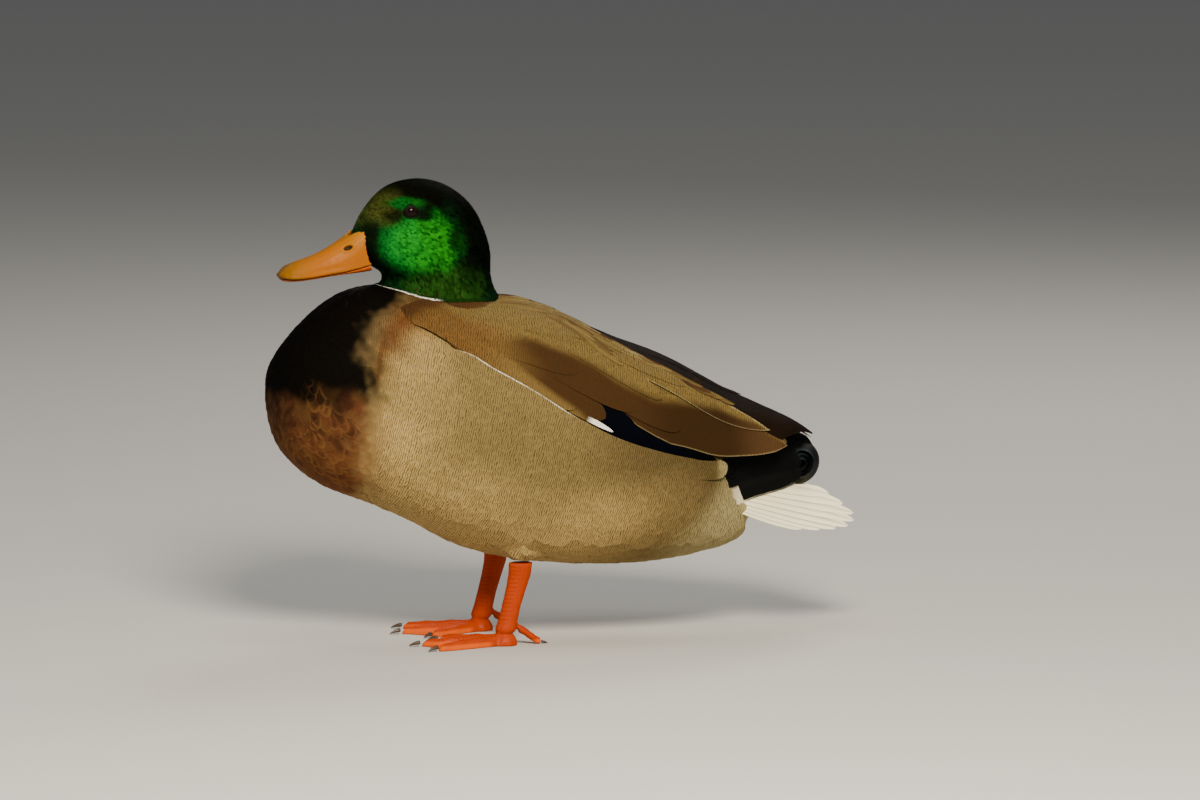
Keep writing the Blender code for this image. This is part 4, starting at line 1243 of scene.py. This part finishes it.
def makeCurls():
    rng = np.random.default_rng(4)
    material = plumage("curlPlumage", .6, {
        "Line Depth": 0., "Barb Pitch": .8, "Barb Contrast": .5, "Edge Width": 1.1, "Shaft": .2,
        "Spread": .2}, shader=satin)
    centreY, centreZ = curlLook["centre"]
    wide, tight = curlLook["radii"]
    begin, end = curlLook["tightens"]

    def onCurl(turn, x):    # a spiral that tightens from its root to its tip
        radius = wide + (tight - wide) * ((turn - begin) / (end - begin))
        angle = np.radians(turn)
        return fromFeet(np.stack([x, centreY + radius * np.cos(angle), centreZ + radius * np.sin(angle)], -1))

    def curlTone(blade, turn, x, along, across):
        tone = np.tile(palette["black"], (len(x), 1))
        # painted sheen: bluish grey fringes over the black curls
        return tone, palette["paintedSheen"], tone, np.zeros(len(x))

    for sideName, side in sides.items():
        blades = [{"root": (first, side * x), "via": ((first + last) / 2, side * x), "tip": (last, side * x),
                   "half": curlLook["half"], "height": (-1.6 - order * 2.4, -order * .3, -2.6 * side),
                   "step": (1, .3), "fall": .5, "blunt": 1.6, "thick": .9, "camber": .4, "neck": .1}
                  for order, (x, (first, last)) in enumerate(zip(curlLook["x"], curlLook["turns"]))]
        largeFeathers("curls" + sideName.title(), onCurl, -1, blades, vaneTemplate(36, 7), curlTone,
                      material, rng, [f"tail_curl_{sideName}"])


covertLook = {    # the rump's top over the tail's ridge, and its half width
    "y": (104, 116, 128, 141, 153, 161, 168, 178, 190), "crown": (40, 32, 29, 29, 29, 30, 30, 27, 10),
    "wide": (36, 33, 26, 19, 14, 11, 7, 4, 3), "fullness": 2.2, "shares": (.02, .18, .34, .5, .66, .8, .92),
    "rootY": 100, "bendY": 142, "tips": (182, 182, 182, 182, 181, 179, 176),
    "half": (6.5, 6.5, 6.5, 6.5, 6.5, 6, 6),
}


def onRump(side):    # y, and share of the way down from the top to the tail's side
    def surface(y, share):
        crown, wide = (np.interp(y, covertLook["y"], covertLook[label]) for label in ("crown", "wide"))
        ridge = np.interp(y, covertLook["y"], np.interp(covertLook["y"], *tailLook["ridge"]))
        out, up = bulge(np.radians(share * 90), covertLook["fullness"])
        low = ridge - wide * tailLook["droop"]
        return fromFeet(np.stack([side * out * wide, y, low + up * (ridge + crown - low)], -1))
    return surface


def makeCoverts():
    rng = np.random.default_rng(6)

    def covertTone(blade, y, share, along, across):
        tone = np.tile(palette["black"], (len(y), 1))
        return tone, tone * 2., tone, np.zeros(len(y))

    rows = list(zip(*(covertLook[label] for label in ("shares", "tips", "half"))))
    for sideName, side in sides.items():
        blades = [{"root": (covertLook["rootY"], share * 1.02), "via": (covertLook["bendY"], share),
                   "tip": (tip, share * .9), "half": half, "height": (-.7 + .12 * order, .5, 0),
                   "step": (.2, .01), "blunt": 2.4, "neck": .12, "fall": .6}
                  for order, (share, tip, half) in enumerate(rows)]
        largeFeathers("tailCoverts" + sideName.title(), onRump(side), side, blades, vaneTemplate(24, 9),
                      covertTone, coatMaterials["rump"], rng)


makeTail()
makeCoverts()
makeCurls()
headTurn = math.radians(6)
headPivotY = -38


def headOn(feet):    # back to a head that looks straight ahead
    away = feet[:, 1] - headPivotY
    x = feet[:, 0] * math.cos(headTurn) + away * math.sin(headTurn)
    y = headPivotY - feet[:, 0] * math.sin(headTurn) + away * math.cos(headTurn)
    return np.stack([x, y, feet[:, 2]], 1)


horn = {"Specular IOR Level": .08, "Coat Roughness": .3, "Subsurface Weight": .05, "Subsurface Scale": .002}


def hornMaterial(name, roughness, coat, pitch, dent, spread):    # bare skin: bill, lids and legs
    material, kit, sockets = newMaterial(name)
    place = kit.place()
    cloud = kit.noise(place, 90, 4.)
    fine = kit.noise(place, 900, 3.)
    lit = kit.math("MULTIPLY_ADD", kit.math("SUBTRACT", cloud, .5), spread, 1.)
    lit = kit.math("MULTIPLY_ADD", kit.math("SUBTRACT", fine, .5), spread * .6, lit)
    kit.put(kit.scaled(kit.attribute("tone", "Color"), lit), sockets["Base Color"])
    kit.put(kit.math("MULTIPLY_ADD", cloud, .18, roughness), sockets["Roughness"])
    setSockets(sockets, {"Coat Weight": coat, **horn})
    cells = kit.add("ShaderNodeTexVoronoi", {"Vector": place, "Scale": 1 / pitch}, feature="DISTANCE_TO_EDGE")
    groove = kit.between(cells.outputs["Distance"], 0., .12)
    kit.dent(kit.math("MULTIPLY_ADD", fine, .25, groove), dent, .00015, sockets["Normal"])
    return material


def smoothCopy(names, grow, voxel, smoothing):    # CAD nodes as one fine smooth mesh, with its arrays
    mesh = grownCopy(names, grow, voxel, smoothing)
    points, normals = arraysOf(mesh)
    mesh.shade_smooth()
    return mesh, points - normals * grow, normals


def reshape(mesh, points, normals, move):    # moved out by so many mm, and never below the floor
    moved = points + normals * (move * .001)[:, None]
    moved[:, 2] = np.maximum(moved[:, 2], 0)
    setPoints(mesh, moved)


billLook = {
    "voxel": .00045, "smoothing": 10,
    "nostril": (95.3, 227.0), "nostrilHalf": (3.0, 1.45), "nostrilDepth": 1.5, "nostrilLean": .36,
    "nail": (130.6, 4.3, 4.6),    # y, half width, half length
    "lip": ((60, 78, 86, 93, 99, 105, 111, 117, 123, 128, 131.5, 134),
            (219, 218, 216, 214.3, 213.2, 212.4, 211.6, 210.9, 210.5, 210.4, 210.5, 210.8)),
    "orange": colour(144, 79, 0), "yellow": colour(147, 92, 0), "tip": colour(100, 76, 0),
    "nailTone": colour(84, 68, 36), "dark": colour(24, 17, 11), "under": colour(172, 78, 0),
}


def makeBill():
    look = billLook
    material = hornMaterial("billHorn", .4, .03, .0016, .12, .18)
    centreY, centreZ = look["nostril"]
    nailY, nailWide, nailLong = look["nail"]
    for name, upper in (("bill_upper", True), ("bill_lower", False)):
        mesh, points, normals = smoothCopy([name], 0, look["voxel"], look["smoothing"])
        feet = headOn(toFeet(points))
        x, y, z = np.abs(feet[:, 0]), -feet[:, 1], feet[:, 2]
        high = z - np.interp(y, *look["lip"])
        run, rise = y - centreY, z - centreZ
        slant = np.hypot((run - rise * look["nostrilLean"]) / look["nostrilHalf"][0],
                         (rise + run * look["nostrilLean"]) / look["nostrilHalf"][1])
        rim = np.exp(-((slant - 1.35) / .3) ** 2) * (x > 2)
        if upper:
            hole = (1 - ramp(slant, .55, 1.05)) * (x > 2)
            rail = np.exp(-((high - 1.3) / 1.0) ** 2) * ramp(y, 90, 108) * ramp(x, 3, 6)
            gully = np.exp(-((high - 3.6) / 1.2) ** 2) * ramp(y, 96, 112)
            nail = 1 - ramp(np.hypot(x / nailWide, (y - nailY) / nailLong), .8, 1.05)
            move = rim * .28 - hole * look["nostrilDepth"] + rail * .45 + nail * .35 - gully * .2
            tone = layered(
                mixed(look["orange"], look["yellow"], ramp(high, 6, 22) * ramp(-y, -112, -84)),
                (look["yellow"], rim * .5),
                (look["tip"], ramp(y, 112, 132) * .55),
                (look["tip"], ramp(3.2 - x, 0, 2.5) * ramp(high, 3, 6) * .35),
                # painted shade in the nostril
                (look["dark"], (1 - ramp(slant, .75, 1.0)) * (x > 2) * .97),
                (look["nailTone"], nail * .55),
                # painted shade along the lower rim, where the upper bill meets the lower one
                (look["dark"], (1 - ramp(high, .15, .6)) * .5))
        else:
            move = np.zeros(len(y))
            tone = mixed(look["under"], look["dark"], ramp(y, 116, 130) * .4)
        reshape(mesh, points, normals, move)
        paint(mesh, "tone", tone)
        newPiece("billUpper" if upper else "billLower", mesh, material, [name])


eyeLook = {    # metres and degrees; the cornea bulges out within its two angles
    "radius": .0050, "cornea": .00035, "corneaAngles": (20, 52), "iris": colour(25, 9, 7),
    "rim": colour(13, 6, 5), "pupil": colour(17, 7, 6), "pupilAngle": 24, "irisAngle": 48, "oval": 1.1,
    # the lids' cross-section: mm from the eye's axis, and out from its middle
    "lids": ((3.2, 4.0), (3.3, 4.2), (3.55, 4.2), (3.9, 3.85), (4.25, 3.2), (4.3, 2.6), (3.9, 2.7),
             (3.4, 3.4)),
}


def eyeball(look, centre):
    bm = bmesh.new()
    bmesh.ops.create_uvsphere(bm, u_segments=48, v_segments=36, radius=eyeLook["radius"])
    up = Vector((0, 0, 1))
    for vertex in bm.verts:
        bulging = float(1 - ramp(math.degrees(vertex.co.angle(up)), *eyeLook["corneaAngles"]))
        vertex.co *= 1 + eyeLook["cornea"] / eyeLook["radius"] * bulging
    bm.verts.index_update()
    angles = np.array([math.degrees(vertex.co.angle(up)) for vertex in bm.verts])
    bm.transform(look.to_track_quat("Z", "Y").to_matrix().to_4x4())
    bmesh.ops.translate(bm, verts=bm.verts, vec=centre)
    mesh = meshFrom(bm, "eye")
    mesh.shade_smooth()
    pupil, iris = eyeLook["pupilAngle"], eyeLook["irisAngle"]
    tone = mixed(eyeLook["pupil"], eyeLook["iris"], ramp(angles, pupil, pupil + 3))
    return mesh, mixed(tone, eyeLook["rim"], ramp(angles, iris - 8, iris))


def lidRing(look, centre):
    bm = bmesh.new()
    profile = [bm.verts.new((out * .001, 0, up * .001)) for out, up in eyeLook["lids"]]
    for first, second in zip(profile, profile[1:] + profile[:1]):
        bm.edges.new((first, second))
    bmesh.ops.spin(bm, geom=bm.verts[:] + bm.edges[:], axis=(0, 0, 1), cent=(0, 0, 0), steps=64,
                   angle=2 * math.pi, use_merge=True)
    for vertex in bm.verts:    # a little longer than high, pointed where the lids meet
        out = max(math.hypot(vertex.co.x, vertex.co.y), 1e-6)
        vertex.co.x *= 1 + (eyeLook["oval"] - 1) * abs(vertex.co.x / out) ** 3
        vertex.co.y *= .95
    level = (Vector((0, 1, 0)) - look * look.y).normalized()
    bm.transform(Matrix((level, look.cross(level), look)).transposed().to_4x4())
    bmesh.ops.translate(bm, verts=bm.verts, vec=centre)
    bmesh.ops.recalc_face_normals(bm, faces=bm.faces)
    mesh = meshFrom(bm, "lid")
    mesh.shade_smooth()
    return mesh


def makeEyes():
    material, kit, sockets = newMaterial("eyeGlass")
    speck = kit.math("SUBTRACT", kit.noise(kit.place(), 1600, 3.), .5)
    streak = kit.math("MULTIPLY_ADD", speck, .8, 1.)
    kit.put(kit.scaled(kit.attribute("tone", "Color"), streak), sockets["Base Color"])
    setSockets(sockets, {"Roughness": .5, "Specular IOR Level": 0, "Coat Weight": .2, "Coat Roughness": .02})
    lids = hornMaterial("eyelid", .6, 0., .0007, .9, .8)
    for sideName, centre, look in zip(sides, eyeCentres, eyeLooks):
        mesh, tone = eyeball(look, centre)
        paint(mesh, "tone", tone)
        newPiece("eyeball" + sideName.title(), mesh, material, [f"eye_{sideName}"])
        mesh = lidRing(look, centre)
        tone = headTone(headOn(toFeet(arraysOf(mesh)[0]))) * .4
        paint(mesh, "tone", mixed(tone, palette["headBlack"], .45))
        newPiece("eyelids" + sideName.title(), mesh, lids)


legLook = {
    "voxel": .0006, "grow": .0002, "smoothing": 7, "scute": 2.3, "depth": .16, "knuckles": (17, 31),
    "orange": colour(162, 51, 0), "web": colour(200, 79, 0), "crease": colour(112, 28, 0),
    "jointX": 30, "jointY": -7.2, "claw": (colour(38, 28, 22), colour(78, 60, 44)),
}


def makeLegs():
    skinMaterial = hornMaterial("legSkin", .45, .05, .0013, .6, .35)
    claws, kit, sockets = newMaterial("claw")
    grain = kit.noise(kit.place(), 700, 4., 1.)
    kit.put(kit.blend(grain, *((*tone, 1) for tone in legLook["claw"])), sockets["Base Color"])
    kit.put(kit.math("MULTIPLY_ADD", grain, .2, .3), sockets["Roughness"])
    for sideName, side in sides.items():
        names = [f"{part}_{sideName}" for part in ("tarsus", "foot", "hallux")]
        mesh, points, normals = smoothCopy(names, legLook["grow"], legLook["voxel"], legLook["smoothing"])
        feet = toFeet(points)
        x, y, z = feet.T
        far = np.hypot(x - side * legLook["jointX"], y - legLook["jointY"])
        toes = ramp(far, 6, 10) * ramp(z, 2.2, 3.4)
        shin = ramp(z, 9, 14)
        front = ramp(-normals[:, 1], -.2, .3)
        wave = np.cos(far / legLook["scute"] * 2 * math.pi) * toes * ramp(normals[:, 2], .2, .7)
        wave += np.cos(z / legLook["scute"] * 2 * math.pi) * shin * front
        crease = ramp(-wave, .3, 1)
        swell = sum(np.exp(-((far - knuckle) / 3.2) ** 2) for knuckle in legLook["knuckles"]) * toes
        move = -crease * legLook["depth"] + swell * .45 * ramp(z, 3, 4)
        reshape(mesh, points, normals, move)
        thin = ramp(far, 9, 14) * (1 - ramp(z, 2.4, 3.4))
        tone = mixed(legLook["orange"], legLook["web"], thin)
        # painted shade: the creases between the scales are painted darker
        tone = mixed(tone, legLook["crease"], crease * .35)
        paint(mesh, "tone", tone)
        newPiece("leg" + sideName.title(), mesh, skinMaterial, names)
        for toe in ("inner", "middle", "outer", "hind"):
            name = f"claw_{toe}_{sideName}"
            mesh = meshFrom(mergedCopy(name), name)
            mesh.shade_smooth()
            piece = newPiece("claw" + toe.title() + sideName.title(), mesh, claws, [name])
            rounded = piece.modifiers.new("rounded", "SUBSURF")
            rounded.levels = rounded.render_levels = 2


makeBill()
makeEyes()
makeLegs()

studio = {
    "azimuth": 76, "elevation": 7, "distance": 5.7, "lens": 300,
    "right": .05415, "up": .1351,      # from the foot joints to the middle of the picture
    "floor": colour(184, 181, 174), "floorSize": 6, "world": colour(190, 196, 204), "worldStrength": .3,
    "middle": (0, 0, .13),    # where the lamps are aimed
    # azimuth and elevation from there, distance, size, watts, colour
    "lamps": {"key": ((84, 33), 1.7, .5, 58, (1., .92, .78)),
              "fill": ((0, 22), 2.0, 1.4, 8, (.94, .97, 1.)),
              "top": ((80, 84), 1.7, 1.0, 7, (1., .98, .95)),
              "rim": ((235, 40), 1.8, .8, 14, (1., .97, .92))},
}


def towards(azimuth, elevation):    # from the duck to something that looks at it from there
    turn, rise = math.radians(azimuth), math.radians(elevation)
    return Vector((math.sin(turn) * math.cos(rise), -math.cos(turn) * math.cos(rise), math.sin(rise)))


def aimed(thing, place, target):
    thing.location = place
    thing.rotation_euler = (target - place).to_track_quat("-Z", "Y").to_euler()
    bpy.context.scene.collection.objects.link(thing)


def buildStudio():
    centre = Vector(studio["middle"])
    for name, (angles, distance, size, power, tint) in studio["lamps"].items():
        lamp = bpy.data.lights.new(name, "AREA")
        lamp.shape = "DISK"
        lamp.size = size
        lamp.energy = power
        lamp.color = tint
        aimed(bpy.data.objects.new(name, lamp), centre + towards(*angles) * distance, centre)
    world = bpy.data.worlds.new("studio")
    world.use_nodes = True
    sky = world.node_tree.nodes["Background"].inputs
    sky[0].default_value = (*studio["world"], 1)
    sky[1].default_value = studio["worldStrength"]
    bpy.context.scene.world = world
    bm = bmesh.new()
    bmesh.ops.create_grid(bm, x_segments=1, y_segments=1, size=studio["floorSize"])
    mesh = meshFrom(bm, "floor")
    floor = bpy.data.objects.new("floor", mesh)
    material, _, sockets = newMaterial("floor")
    setSockets(sockets, {"Base Color": (*studio["floor"], 1), "Roughness": .9})
    mesh.materials.append(material)
    bpy.context.scene.collection.objects.link(floor)
    camera = bpy.data.cameras.new("camera")
    camera.lens = studio["lens"]
    camera.clip_end = 30
    back = towards(studio["azimuth"], studio["elevation"])
    across = Vector((0, 0, 1)).cross(back).normalized()
    upward = back.cross(across)
    middle = Vector(fromFeet((0, 0, 0))) + across * studio["right"] + upward * studio["up"]
    viewer = bpy.data.objects.new("camera", camera)
    aimed(viewer, middle + back * studio["distance"], middle)
    bpy.context.scene.camera = viewer
    print("studio")


buildStudio()
